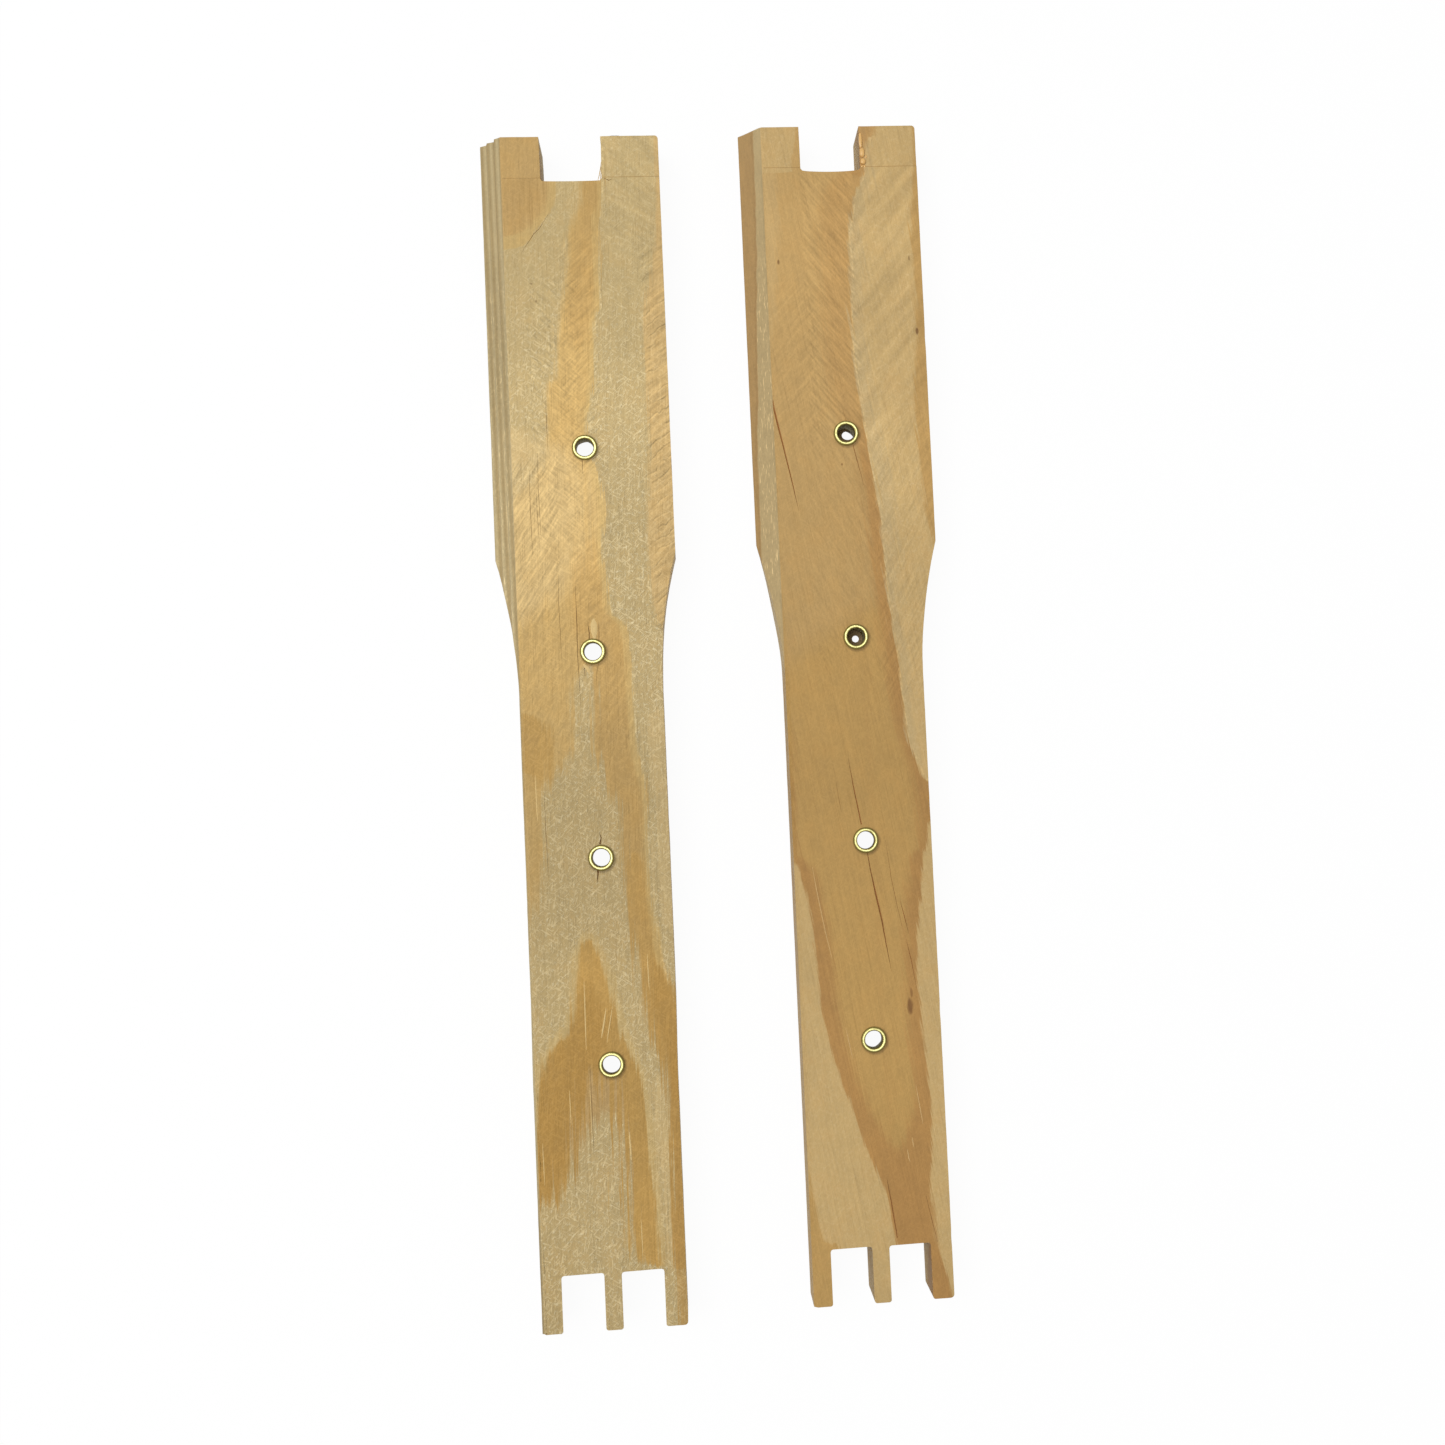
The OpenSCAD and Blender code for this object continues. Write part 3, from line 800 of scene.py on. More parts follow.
def bar_blank(vee, material):
    """The bar before it is notched: a board with its V edge, side cuts and eased corners."""
    eased = [CORNER * (1 - math.cos(math.pi * i / 12)) for i in range(7)]
    downs = sorted(
        {*eased, *(LENGTH - e for e in eased), SIDE_CUT_START}
        | {SIDE_CUT_START + (SIDE_CUT_END - SIDE_CUT_START) * i / 24 for i in range(1, 25)}
    )
    upper = [(0.0, THICKNESS), *vee, (HALF_HEAD - SHOULDER, THICKNESS / 2 + 0.12)]
    rings = []
    for down in downs:
        half, left = reach(down, CORNER), reach(down, 0.001)
        slope = []
        for (out0, up0), (out1, up1) in zip(upper, upper[1:]):
            slope.append((out0, up0))
            if out0 < left - SHOULDER < out1:
                at = (left - SHOULDER - out0) / (out1 - out0)
                break_point = (left - SHOULDER, up0 + (up1 - up0) * at)
        if left < HALF_HEAD - 1e-6:
            slope = [p if p[0] < left - SHOULDER else break_point for p in slope] + [break_point]
        else:
            slope.append(upper[-1])
        left_side = [(-SHOULDER - out, up) for out, up in slope]
        lower_side = [(x, THICKNESS - z) for x, z in reversed(left_side)]
        ring = [*left_side, *lower_side, (half, 0.0), (half, THICKNESS)]
        rings.append([(x, -down, z) for x, z in ring])
    bm = bmesh.new()
    loft(bm, rings)
    bmesh.ops.remove_doubles(bm, verts=bm.verts, dist=1e-5)
    bmesh.ops.dissolve_degenerate(bm, edges=bm.edges, dist=1e-5)
    return solid("blank", bm, material)


def plan_cutter(bm, outline, lean=0.0):
    """Adds an upright cutter with an outline of (across, down). Its left wall leans out by lean."""
    left = min(x for x, down in outline) + 0.6
    rings = []
    for z in (-1.0, THICKNESS + 1):
        out = lean * (THICKNESS - z) / THICKNESS
        rings.append([(x - out * (x < left), -down, z) for x, down in outline])
    loft(bm, rings)


def notches(side, material):
    """The cutter for the notch between the prongs and the two slots of the foot."""
    bm = bmesh.new()
    left, right = NOTCH_OFFSET - NOTCH_WIDTH / 2, NOTCH_OFFSET + NOTCH_WIDTH / 2
    # the floor sags, the mouth opens a little, and the left bar's slots lean out to the back
    sag, lip, lean = (0.10, 0.12, 0.95) if side == "left" else (0.32, 0.05, 0.0)
    floor = []
    for i in range(15):
        sagged = sag * math.sin(math.pi * i / 14) ** 0.6
        floor.append((left + 0.35 + (NOTCH_WIDTH - 0.7) * i / 14, NOTCH_DEPTH - 0.18 + sagged))
    left_wall = [(left - lip, -1), (left, 3), (left, NOTCH_DEPTH - 0.6)]
    plan_cutter(bm, [*left_wall, *floor, (right, NOTCH_DEPTH - 0.6), (right + lip, 2), (right + lip, -1)])
    for middle in (-SLOT_REACH, SLOT_REACH):
        a, b, top = middle - SLOT_WIDTH / 2, middle + SLOT_WIDTH / 2, LENGTH - SLOT_DEPTH
        left_end = [(a, LENGTH + 1), (a, top + 0.5), (a + 0.15, top + 0.15), (a + 0.5, top)]
        right_end = [(b - 0.5, top - 0.06), (b - 0.12, top + 0.1), (b, top + 0.5), (b, LENGTH + 1)]
        plan_cutter(bm, left_end + right_end, lean)
    return solid("notches", bm, material)


def tooth_corners(material):
    """The cutter that rounds the inner corners of the three teeth. Out points into the slot."""
    bm = bmesh.new()
    for middle in (-SLOT_REACH, SLOT_REACH):
        for out in (1, -1):
            wall, curve = middle - out * SLOT_WIDTH / 2, out * TOOTH_CORNER
            outline = [(wall - curve, LENGTH + 1)]
            for i in range(7):
                turn = math.pi / 12 * i
                x, down = wall - curve * (1 - math.sin(turn)), LENGTH - TOOTH_CORNER * (1 - math.cos(turn))
                outline.append((x, down))
            outline += [(wall + out, LENGTH - TOOTH_CORNER), (wall + out, LENGTH + 1)]
            plan_cutter(bm, outline)
    return solid("tooth corners", bm, material)


def bores(side, material):
    """The cutter for a bar's four drilled holes. The eyelet's barrel sits in the top of each."""
    bm = bmesh.new()
    for number in NUMBERS:
        across, down = eyelet_place(side, number)
        below = THICKNESS - BARRELS[side][number - 1]
        lean = (down - 132) * 0.006
        shape = ((below, 0, 0, HOLE, HOLE), (below - 0.7, 0, 0, 2.35, 2.35), (-1, 0, lean, 3.1, 3.1))
        if side == "right":
            shape = TORN_BORES.get(number, shape)
        top = (THICKNESS + 1, 0, 0, HOLE, HOLE)
        loft(bm, [oval(rx, ry, across + x, -down - y, z) for z, x, y, rx, ry in (top, *shape)])
    return solid("bores", bm, material)


def splits(paths, material):
    """The cutter for the splits: thin wedges that wander a little along their paths."""
    bm = bmesh.new()
    for path, depth in paths:
        path = [(x, down, *(half or (SHARP,))) for x, down, *half in path]
        steps = []
        for (x0, d0, w0), (x1, d1, w1) in zip(path, path[1:]):
            count = max(2, round(math.hypot(x1 - x0, d1 - d0) / 1.2))
            share = [i / count for i in range(count)]
            steps += [(x0 + (x1 - x0) * t, d0 + (d1 - d0) * t, w0 + (w1 - w0) * t) for t in share]
        steps.append(path[-1])
        rings = []
        for i, (x, down, half) in enumerate(steps):
            before, after = steps[max(i - 1, 0)], steps[min(i + 1, len(steps) - 1)]
            square = Vector((before[1] - after[1], after[0] - before[0])).normalized()
            wander = 0.05 * noise.noise(Vector((x, down * 0.9, 4.0))) if 0 < i < len(steps) - 1 else 0.0
            shifts = wander - half, wander + half, wander
            sides = [(x + square.x * s, -down - square.y * s) for s in shifts]
            heights = (THICKNESS + 0.01, THICKNESS + 0.01, THICKNESS - depth * (0.3 + 2.5 * half))
            rings.append([(*at, z) for at, z in zip(sides, heights)])
        loft(bm, rings)
    return solid("splits", bm, material)


def slice_at(bm, axis, place):
    """Cuts a mesh through, square to the axis, so that its faces can be bent there."""
    geometry = bm.verts[:] + bm.edges[:] + bm.faces[:]
    bmesh.ops.bisect_plane(bm, geom=geometry, dist=1e-5, plane_co=axis * place, plane_no=axis)


# Small dents in the upper edges of the bars: (across, down, radius, depth).
LEFT_DENTS = (
    (17.45, 34.5, 0.9, 0.12), (17.45, 66, 1, 0.14), (17.3, 87, 1.2, 0.12), (14.8, 97.8, 1.3, 0.28),
    (-13.9, 150, 1.2, 0.12), (13.85, 128, 1.1, 0.12), (13.85, 201, 1, 0.14), (6.5, 0.2, 0.7, 0.12),
    (9.6, 0, 0.6, 0.1), (-6, 219.5, 1, 0.14), (8, 221, 0.8, 0.12),
)
RIGHT_DENTS = (
    (-13.6, 150.5, 1.2, 0.22), (-13.6, 153, 0.9, 0.18), (17.45, 43, 1.1, 0.15), (-13.3, 178, 1.3, 0.12),
    (13.85, 176, 1, 0.12), (6.2, 1, 0.8, 0.14), (7.6, 0, 0.6, 0.14), (13.4, 220.5, 1, 0.14),
)


def ease(value, start, end):
    """0 at start and 1 at end, with a soft turn at both."""
    share = min(max((value - start) / (end - start), 0.0), 1.0)
    return share * share * (3 - 2 * share)


def worn(side, x, down, z):
    """How far milling and wear have moved a point of a bar."""
    push = Vector((0, 0, 0))
    if down < SKIM_END and z > 6 and x > -SHOULDER - 0.3:
        push.z -= SKIM_DEPTH
    seed = 3.0 if side == "left" else 11.0
    wave = noise.noise(Vector((x * 0.05, down * 0.06, seed)))
    small = noise.noise(Vector((x * 0.4, down * 0.45, seed + z * 0.2)))
    if abs(x) > 13.0:
        push.x -= math.copysign(0.05 * abs(wave) + 0.045 * abs(small), x)
    if side == "left":
        # it bows a little to the right, and the left side of its foot leans
        push.x += 0.26 * ease(down, 92, 110) * ease(down, 186, 168)
        if x < -13.0 and down > 150:
            below = 1 - z / THICKNESS
            push.x += ease(down, 165, 192) * (0.95 * max(0.0, 1 - below * 4.5) - 0.5)
    elif x < -SHOULDER + 0.4:
        # its left side is cut deeper
        push.x += 0.5 * ease(down, 94, 108)
    elif x > 13.0:
        # its right side cut starts lower
        push.y -= 1.0 * ease(down, 79, 84) * ease(down, 106, 96)
    if z > 5:
        push.z -= 0.03 * abs(wave)
    if down < 1.5 or down > LENGTH - 1.5:
        push.y += math.copysign(0.06 * abs(small) + 0.03, down - LENGTH / 2)
    return push


def handle(piece, side, dents):
    """Gives a bar its skimmed prongs, its dents and the small unevenness of milled pine."""
    bm = bmesh.new()
    bm.from_mesh(piece.data)
    across_bar, along_bar = Vector((1, 0, 0)), Vector((0, 1, 0))
    for edge_of_skim in (SKIM_END - 0.1, SKIM_END + 0.1):
        slice_at(bm, along_bar, -edge_of_skim)
    for axis, low, high, step in ((along_bar, -LENGTH, 0, 1.9), (across_bar, -HALF_HEAD, HALF_HEAD, 2.3)):
        for i in range(1, int((high - low) / step)):
            slice_at(bm, axis, low + i * step + 0.137)
    for vert in bm.verts:
        x, down, z = vert.co.x, -vert.co.y, vert.co.z
        push = worn(side, x, down, z)
        for dent_x, dent_down, radius, depth in dents:
            away = math.dist((x, down, z), (dent_x, dent_down, THICKNESS)) / radius
            if away < 1:
                inward = Vector((-math.copysign(0.7, dent_x), 0.0, -0.7))
                push += inward * depth * (1 - away * away) ** 2
        vert.co += push
    bm.to_mesh(piece.data)
    bm.free()


def sliver(bm, spine, ups, half_width, thickness, slot):
    """Adds a thin raised fibre: (across, down) along its spine, at heights ups, pointed at both ends."""
    rings = []
    last = len(spine) - 1
    for i, ((x, down), z) in enumerate(zip(spine, ups)):
        swell = 0.12 + math.sin(math.pi * (0.08 + 0.84 * i / last))
        w, t = half_width * swell, thickness * swell
        section = ((-w, 0), (-w * 0.5, t), (w * 0.5, t), (w, 0), (0, -t))
        rings.append([(x + out, -down, z + rise) for out, rise in section])
    first = len(bm.faces)
    loft(bm, rings)
    bm.faces.ensure_lookup_table()
    for face in bm.faces[first:]:
        face.material_index = slot


# Fibres lifted by the cutter: (across, down) along each, its heights there, half width and thickness.
LOW, FLAT, PROUD = (9.46, 9.49, 9.49, 9.46), (9.46, 9.5, 9.5, 9.46), (9.46, 9.52, 9.52, 9.46)
LEFT_FIBRES = (
    (((6.35, 5.2), (6.15, 6.6), (5.85, 7.9), (5.5, 9.1)), (9.2, 9.15, 9.05, 9), 0.08, 0.1),
    (((6.3, 6.1), (6.25, 7.2), (6.1, 8.3), (6.05, 9.2)), (9.1, 9.1, 9, 9), 0.07, 0.08),
    (((1.25, 95.6), (1.28, 97), (1.3, 98.3), (1.32, 99.8)), (9.44, 9.52, 9.54, 9.52), 0.62, 0.1),
    (((-0.9, 104.6), (-0.5, 105.1), (-0.1, 105.7), (0.1, 106.6)), (9.5, 9.58, 9.54, 9.44), 0.42, 0.1),
    (((0.7, 171), (0.3, 173.2), (-0.1, 175.2), (-0.4, 176.6)), PROUD, 0.18, 0.1),
    (((1.9, 170.8), (1.5, 173), (1, 175.4), (0.6, 177.6)), PROUD, 0.12, 0.1),
    (((-3.3, 164.5), (-3.3, 169), (-3.35, 174), (-3.4, 180)), FLAT, 0.11, 0.05),
    (((9, 160.5), (9, 163), (9.05, 166), (9.1, 168.5)), FLAT, 0.1, 0.05),
    (((-11, 124.5), (-11.05, 128), (-11, 132), (-10.9, 136)), FLAT, 0.1, 0.04),
    (((-6.85, 185.5), (-6.85, 188), (-6.8, 191), (-6.8, 193.5)), FLAT, 0.08, 0.04),
    (((-12.3, 195), (-12.3, 198), (-12.25, 201), (-12.2, 205)), FLAT, 0.08, 0.04),
    (((4.15, 194.5), (4.2, 196), (4.3, 198), (4.35, 200.5)), PROUD, 0.15, 0.06),
    (((5.7, 210.5), (5.75, 213), (5.8, 216), (5.8, 219.5)), FLAT, 0.08, 0.04),
    (((-3, 184), (-2.95, 188), (-2.9, 193), (-2.9, 199)), LOW, 0.06, 0.03),
    (((7.6, 0.1), (8.6, 0), (9.8, 0), (10.6, 0.1)), (9.2, 9.28, 9.28, 9.2), 0.08, 0.06),
)
RIGHT_FIBRES = (
    (((-4.8, 178.6), (-4.4, 181), (-4, 183.2), (-3.6, 185.4)), FLAT, 0.07, 0.05),
    (((8.3, 190), (8.7, 193), (9.1, 196), (9.5, 199)), FLAT, 0.08, 0.05),
    (((6, 202.5), (6.2, 203.6), (6.3, 204.6), (6.6, 205.6)), FLAT, 0.09, 0.05),
    (((7.1, 200.4), (7.2, 201.2), (7.3, 202), (7.4, 202.8)), FLAT, 0.08, 0.05),
    (((-10.2, 145), (-9.2, 152), (-7.9, 160), (-6.4, 167.5)), FLAT, 0.07, 0.04),
    (((-3, 9.35), (-0.6, 9.7), (1.6, 9.7), (3.4, 9.4)), (9.3, 9.38, 9.38, 9.3), 0.08, 0.07),
)


def end_bar(side, look):
    """One finished end bar, in its place."""
    left, timber = side == "left", TIMBER[side]
    wood = pine(side, look)
    split = torn_wood(f"{timber.name}_split", timber.split, 0.1)
    bore = torn_wood(f"{timber.name}_bore", timber.bore, 0.08)
    fibre = torn_wood(f"{timber.name}_fibre", timber.fibre, 0.05)
    bar = bar_blank(STEPPED_VEE if left else PLAIN_VEE, wood)
    cut(bar, notches(side, wood))
    cut(bar, tooth_corners(wood))
    cut(bar, bores(side, bore))
    bevel = bar.modifiers.new("eased edges", "BEVEL")
    bevel.width, bevel.segments, bevel.angle_limit = look.edge_ease / MM, 2, math.radians(48)
    baked(bar)
    handle(bar, side, LEFT_DENTS if left else RIGHT_DENTS)
    cut(bar, splits(LEFT_SPLITS if left else RIGHT_SPLITS, split))
    mesh = bar.data
    bm = bmesh.new()
    bm.from_mesh(mesh)
    for raised in LEFT_FIBRES if left else RIGHT_FIBRES:
        sliver(bm, *raised, len(mesh.materials))
    mesh.materials.append(fibre)
    bmesh.ops.scale(bm, vec=(MM, MM, MM), verts=bm.verts)
    bm.to_mesh(mesh)
    bm.free()
    mesh.shade_smooth()
    mesh.set_sharp_from_angle(angle=math.radians(35))
    bar.modifiers.new("even shading", "WEIGHTED_NORMAL").keep_sharp = True
    baked(bar)
    bar.name = bar.data.name = f"{side}_end_bar"
    bar.location = place_of(side)
    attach(bar, "root")
    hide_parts(f"end_bar_{side}")


# ---- the eyelets


def eyelet(side, number, metal):
    """One brass eyelet: a rolled rim on the face and a short barrel in the hole, a little uneven."""
    low, high = EYELET_BOXES[side, number]
    outer = (high.x - low.x) / 2
    top, bore, wall, end = high.z, 1.68, 0.25, THICKNESS - BARRELS[side][number - 1]
    turned_down = bore + 0.1
    crest = (outer + bore) / 2 - 0.02
    profile = [(bore + wall, end), (bore + wall, THICKNESS - 0.12), (outer - 0.22, THICKNESS - 0.03)]
    profile += [
        (crest + (outer - crest) * math.cos(a), THICKNESS + 0.02 + (top - THICKNESS - 0.02) * math.sin(a))
        for a in (math.pi * i / 18 for i in range(0, 15))
    ]
    profile += [(bore + 0.07, THICKNESS - 0.02), (bore + 0.02, THICKNESS - 0.35), (bore, THICKNESS - 0.9)]
    profile += [(bore, end + 0.3), (turned_down, end)]
    bm = bmesh.new()
    count = 96
    rows = []
    seed = number + (0 if side == "left" else 10)
    for i in range(count):
        a = math.tau * i / count
        row = []
        for r, z in profile:
            lift = 0.5 + 0.5 * math.cos(min(abs(z - top) / 0.8, 1) * math.pi)
            pressed = noise.noise(Vector((math.cos(a) * 1.7, math.sin(a) * 1.7, seed))) * lift
            radius = r + 0.045 * pressed * (r > turned_down)
            sunk = 0.05 * abs(pressed) + 0.012 * lift * (1 + math.cos(a - seed))
            row.append(bm.verts.new((radius * math.cos(a), radius * math.sin(a), z - sunk)))
        rows.append(row)
    for pair in zip(rows, rows[1:] + rows[:1]):
        skin(bm, *pair)
    bmesh.ops.scale(bm, vec=(MM, MM, MM), verts=bm.verts)
    piece = solid(f"{side}_eyelet_{number}", bm, metal)
    piece.data.shade_smooth()
    piece.data.set_sharp_from_angle(angle=math.radians(60))
    piece.location = Vector(((low.x + high.x) / 2, (low.y + high.y) / 2, 0)) * MM
    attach(piece, "root")
    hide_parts(f"eyelet_{side}_{number}")


# Beads of resin on the right bar, by its notch: (across, down, radius across, radius down).
BEADS = (
    (6.62, 3.05, 0.34, 1.55), (6.83, 5.5, 0.5, 0.95), (6.95, 7.3, 0.52, 0.62), (6.7, 8.3, 0.26, 0.18),
    (7.2, 8.35, 0.2, 0.3), (7.6, 6.3, 0.14, 0.3),
)


def resin_beads(material):
    """The dried beads beside the right bar's notch, as one piece."""
    bm = bmesh.new()
    for number, (across, down, wide, tall) in enumerate(BEADS):
        for vert in bmesh.ops.create_icosphere(bm, subdivisions=3, radius=1.0)["verts"]:
            lump = 1 + 0.12 * noise.noise(vert.co * 1.6 + Vector((number * 5.0, 0, 0)))
            x, y, z = (math.copysign(abs(part) ** 0.8, part) * lump for part in vert.co)
            up = THICKNESS - 0.12 + z * min(wide, tall) * 0.75
            vert.co = Vector((across + x * wide, -down + y * tall, up))
    bmesh.ops.scale(bm, vec=(MM, MM, MM), verts=bm.verts)
    piece = solid("right_resin_beads", bm, material)
    piece.data.shade_smooth()
    piece.location = place_of("right")
    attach(piece, "root")


# ---- what a user would change


def colour_prop(name, description, *screen):
    """A colour, given as it looks on a screen."""
    limits = {"subtype": "COLOR", "min": 0, "max": 1}
    return FloatVectorProperty(name=name, description=description, default=tint(*screen), **limits)


def amount_prop(name, description, value, **limits):
    """A share or a factor."""
    return FloatProperty(name=name, description=description, default=value, min=0, **limits)


def length_prop(name, description, millimetres):
    """A length, given in millimetres and kept in metres."""
    length = millimetres * MM
    return FloatProperty(
        name=name, description=description, unit="LENGTH", default=length, min=0, precision=5
    )


class PaleBarLook(bpy.types.PropertyGroup):
    """The pale left bar"""

    sapwood: colour_prop("Sapwood", "The pale wood between the bands of the figure", 200, 175, 122)
    heartwood: colour_prop("Golden wood", "The broad golden bands", 199, 165, 103)
    straw: colour_prop("Straw", "Wood lighter and yellower than the bands", 216, 187, 131)
    latewood: colour_prop("Latewood", "The brown cores of the bands", 177, 136, 74)
    yellow_rim: colour_prop("Yellow rim", "The bright line inside a band's edge", 203, 173, 112)
    edge_strip: colour_prop("Edge strip", "The strip along the square edge", 204, 170, 112)
    patch: colour_prop("Patch", "The patch on the left prong", 192, 158, 100)
    flame: colour_prop("Flame", "The flame around the fourth eyelet", 182, 144, 78)
    ember: colour_prop("Ember", "The deepest part of the flame", 173, 132, 64)
    end_grain: colour_prop("End grain", "Wood cut across its fibres", 176, 146, 98)
    fibre: colour_prop("Fibre", "Loose fibres in the pale wood", 228, 211, 168)
    vee: colour_prop("V edge", "The milled V edge", 192, 173, 130)
    foot: colour_prop("Foot", "The mid tone between the flame's lobes", 181, 150, 99)
    # on the left bar this colour is laid on the V edge's creases as painted shade
    vee_outer: colour_prop("V edge creases", "The creases of the V edge", 164, 141, 97)
    knot: colour_prop("Knots", "Specks and small knots", 120, 88, 50)
    fuzz: amount_prop("Fuzz", "How furry the cut fibres are", 1.0, max=2)
    side_shade: amount_prop("Side shade", "How much darker the notch's and slots' walls are", 0.18, max=1)
    side: colour_prop("Sides", "The bar's long sides", 202, 176, 126)
    edge_ease: length_prop("Edge ease", "How far the sharp edges are rubbed down", 0.16)
    relief: amount_prop("Relief", "How rough the planed face is, times its real depth", 1.0)


class WarmBarLook(bpy.types.PropertyGroup):
    """The golden right bar"""

    sapwood: colour_prop("Sapwood", "The pale wood at the sides of the figure", 199, 168, 112)
    heartwood: colour_prop("Golden wood", "The golden heart of the bar", 188, 153, 96)
    latewood: colour_prop("Latewood", "The brown bands inside the sapwood", 177, 134, 77)
    yellow_rim: colour_prop("Yellow rim", "The lighter strip by the V edge", 197, 166, 112)
    edge_strip: colour_prop("Edge strip", "The strip along the square edge", 184, 147, 88)
    flame: colour_prop("Deep heart", "The deeper heart of the lower half", 183, 146, 85)
    end_grain: colour_prop("End grain", "Wood cut across its fibres", 172, 138, 90)
    fibre: colour_prop("Fibre", "Loose fibres in the pale wood", 224, 202, 158)
    vee: colour_prop("V edge", "The milled V edge", 187, 164, 119)
    vee_outer: colour_prop("V edge, outer", "The outer band of the V edge", 176, 143, 94)
    knot: colour_prop("Knots", "Specks and small knots", 112, 74, 40)
    fuzz: amount_prop("Fuzz", "How furry the cut fibres are", 0.26, max=2)
    side_shade: amount_prop("Side shade", "How much darker the notch's and slots' walls are", 0.24, max=1)
    side: colour_prop("Sides", "The bar's long sides", 150, 117, 70)
    edge_ease: length_prop("Edge ease", "How far the sharp edges are rubbed down", 0.16)
    relief: amount_prop("Relief", "How rough the planed face is, times its real depth", 0.7)


class ResinLook(bpy.types.PropertyGroup):
    """The dried resin"""

    resin: colour_prop("Resin", "Dried drops of resin", 222, 176, 106)


class EyeletLook(bpy.types.PropertyGroup):
    """The brass eyelets"""

    # laid on the rim's crest as a painted highlight
    brass: colour_prop("Brass", "The rolled rim, rubbed bright", 243, 237, 164)
    # partly tarnish and partly painted shade on the barrel and the rim's flanks
    tarnish_and_shade: colour_prop("Tarnish", "The barrel and the crease under the rim", 142, 129, 72)
    # the height above which the painted highlight on the rim begins
    highlight_from: length_prop("Bright from", "The height above which the rim is rubbed bright", 9.815)


class StageLook(bpy.types.PropertyGroup):
    """The light and the floor"""

    lamp_power: FloatProperty(
        name="Lamp", description="Power of the soft lamp overhead", default=10.3, min=0, unit="POWER"
    )
    sky: amount_prop("Sky", "Even light from all round", 0.5)
    floor_colour: amount_prop("Floor", "How much light the floor gives back to the bars", 0.8, max=1)
    floor_shade: amount_prop("Floor shade", "How much of the seen floor can fall into shadow", 0.05, max=1)


# ---- operators

# The camera stands over the bars, in millimetres, and is turned by degrees.
CAMERA_PLACE, CAMERA_TURN = (-7.824, -15.881, 299.137), (2.836, -4.341, -2.662)
LENS, FILM_WIDTH, LENS_SHIFT = 37.01, 36.0, -0.0536
# The lamp and the floor, in metres.
LAMP_PLACE, LAMP_SIZE = (-0.42, 0.16, 1.12), 0.9
FLOOR_REACH, FLOOR_GAP = 2.5, 0.0001


class HIVE_OT_pale_bar(bpy.types.Operator):
    """Make the pale left end bar"""

    bl_idname = "hive.pale_bar"
    bl_label = "Pale end bar"

    def execute(self, context):
        end_bar("left", context.scene.pale_bar)
        return {"FINISHED"}


class HIVE_OT_warm_bar(bpy.types.Operator):
    """Make the golden right end bar"""

    bl_idname = "hive.warm_bar"
    bl_label = "Golden end bar"

    def execute(self, context):
        end_bar("right", context.scene.warm_bar)
        return {"FINISHED"}


class HIVE_OT_resin(bpy.types.Operator):
    """Set the dried resin beads beside the golden bar's notch"""

    bl_idname = "hive.resin"
    bl_label = "Resin beads"

    def execute(self, context):
        resin_beads(amber_resin("resin", context.scene.hive_resin))
        return {"FINISHED"}


class HIVE_OT_eyelets(bpy.types.Operator):
    """Press the eight brass eyelets into the bars"""

    bl_idname = "hive.eyelets"
    bl_label = "Brass eyelets"

    def execute(self, context):
        metal = brass("eyelet_brass_finish", context.scene.hive_eyelets)
        for side in SIDES:
            for number in NUMBERS:
                eyelet(side, number, metal)
        return {"FINISHED"}


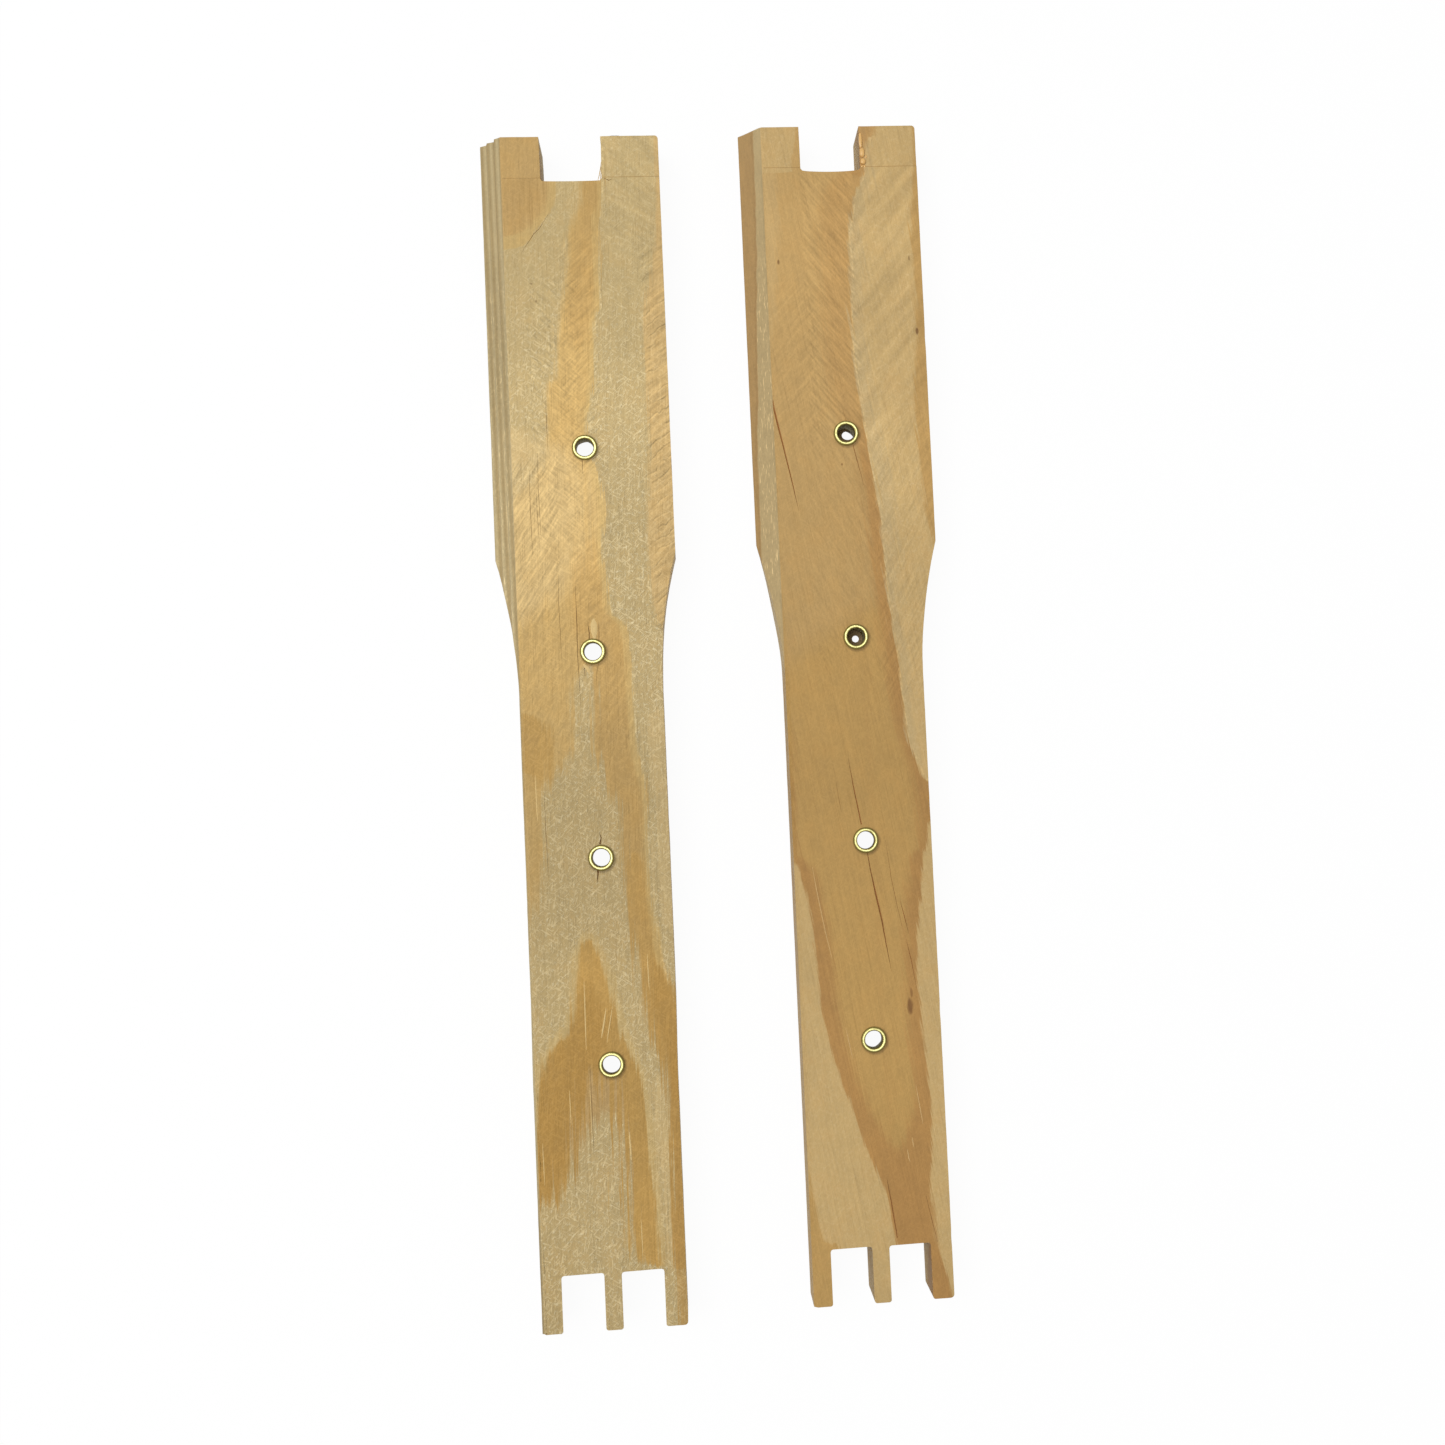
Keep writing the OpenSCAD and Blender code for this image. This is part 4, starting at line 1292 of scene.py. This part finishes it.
class HIVE_OT_stage(bpy.types.Operator):
    """Set the camera, the soft light and the pale floor"""

    bl_idname = "hive.stage"
    bl_label = "Stage"

    def execute(self, context):
        look = context.scene.hive_stage
        scene = context.scene
        scene.view_settings.view_transform = "Standard"

        camera = bpy.data.objects.new("camera", bpy.data.cameras.new("camera"))
        camera.location = Vector(CAMERA_PLACE) * MM
        camera.rotation_euler = Euler([math.radians(angle) for angle in CAMERA_TURN])
        camera.data.lens, camera.data.sensor_width, camera.data.shift_x = LENS, FILM_WIDTH, LENS_SHIFT
        camera.data.clip_start = 0.01
        scene.collection.objects.link(camera)
        scene.camera = camera

        lamp = bpy.data.objects.new("soft_lamp", bpy.data.lights.new("soft_lamp", "AREA"))
        lamp.data.size, lamp.data.energy = LAMP_SIZE, look.lamp_power
        lamp.location = LAMP_PLACE
        lamp.rotation_euler = (-lamp.location).to_track_quat("-Z", "Y").to_euler()
        lamp.visible_camera = False
        scene.collection.objects.link(lamp)

        world = Finish(bpy.data.worlds.new("world"))
        scene.world = world.holder
        seen = self.seen(world)
        sky = world.node("Background", None, {"Strength": seen + (1.0 - seen) * look.sky})
        world.node("OutputWorld", None, {"Surface": sky})

        bm = bmesh.new()
        bmesh.ops.create_grid(bm, x_segments=8, y_segments=8, size=FLOOR_REACH)
        f = finish("floor_white")
        seen = self.seen(f)
        grey = seen * look.floor_shade + (1.0 - seen) * look.floor_colour
        colour = f.node("CombineXYZ", None, {0: grey, 1: grey, 2: grey})
        card = f.node("BsdfDiffuse", None, {"Color": colour})
        glow = f.node("Emission", None, {"Strength": seen * (1.0 - look.floor_shade)})
        f.node("OutputMaterial", None, {"Surface": f.node("AddShader", None, {0: card, 1: glow})})
        floor = solid("floor", bm, f.holder)
        floor.location.z = -FLOOR_GAP
        return {"FINISHED"}

    @staticmethod
    def seen(f):
        """1 for rays from the camera, mirrors and glass, and 0 for those that light the bars."""
        path = f.node("LightPath")
        mirrored = f.math("MAXIMUM", path.other("Is Glossy Ray"), path.other("Is Transmission Ray"))
        return f.math("MAXIMUM", path.other("Is Camera Ray"), mirrored)


class HIVE_PT_panel(bpy.types.Panel):
    """The steps that make the two bars, with their settings"""

    bl_label = "Hive frame end bars"
    bl_space_type = "VIEW_3D"
    bl_region_type = "UI"
    bl_category = "End bars"

    def draw(self, context):
        for operator, group in STEPS:
            box = self.layout.box()
            box.operator(operator.bl_idname)
            settings = getattr(context.scene, group)
            for name in settings.__annotations__:
                box.prop(settings, name)


STEPS = (
    (HIVE_OT_stage, "hive_stage"),
    (HIVE_OT_pale_bar, "pale_bar"),
    (HIVE_OT_warm_bar, "warm_bar"),
    (HIVE_OT_resin, "hive_resin"),
    (HIVE_OT_eyelets, "hive_eyelets"),
)
LOOKS = {
    "hive_stage": StageLook,
    "pale_bar": PaleBarLook,
    "warm_bar": WarmBarLook,
    "hive_resin": ResinLook,
    "hive_eyelets": EyeletLook,
}
CLASSES = (*LOOKS.values(), *(operator for operator, _ in STEPS), HIVE_PT_panel)


def register():
    """Adds the settings, the steps and the panel to Blender."""
    for made in CLASSES:
        bpy.utils.register_class(made)
    for name, look in LOOKS.items():
        setattr(bpy.types.Scene, name, PointerProperty(type=look))


def unregister():
    """Takes them out again."""
    for name in LOOKS:
        delattr(bpy.types.Scene, name)
    for made in reversed(CLASSES):
        bpy.utils.unregister_class(made)


def main():
    """Makes everything."""
    register()
    for operator, _ in STEPS:
        group, name = operator.bl_idname.split(".")
        getattr(getattr(bpy.ops, group), name)()


if __name__ == "__main__":
    main()
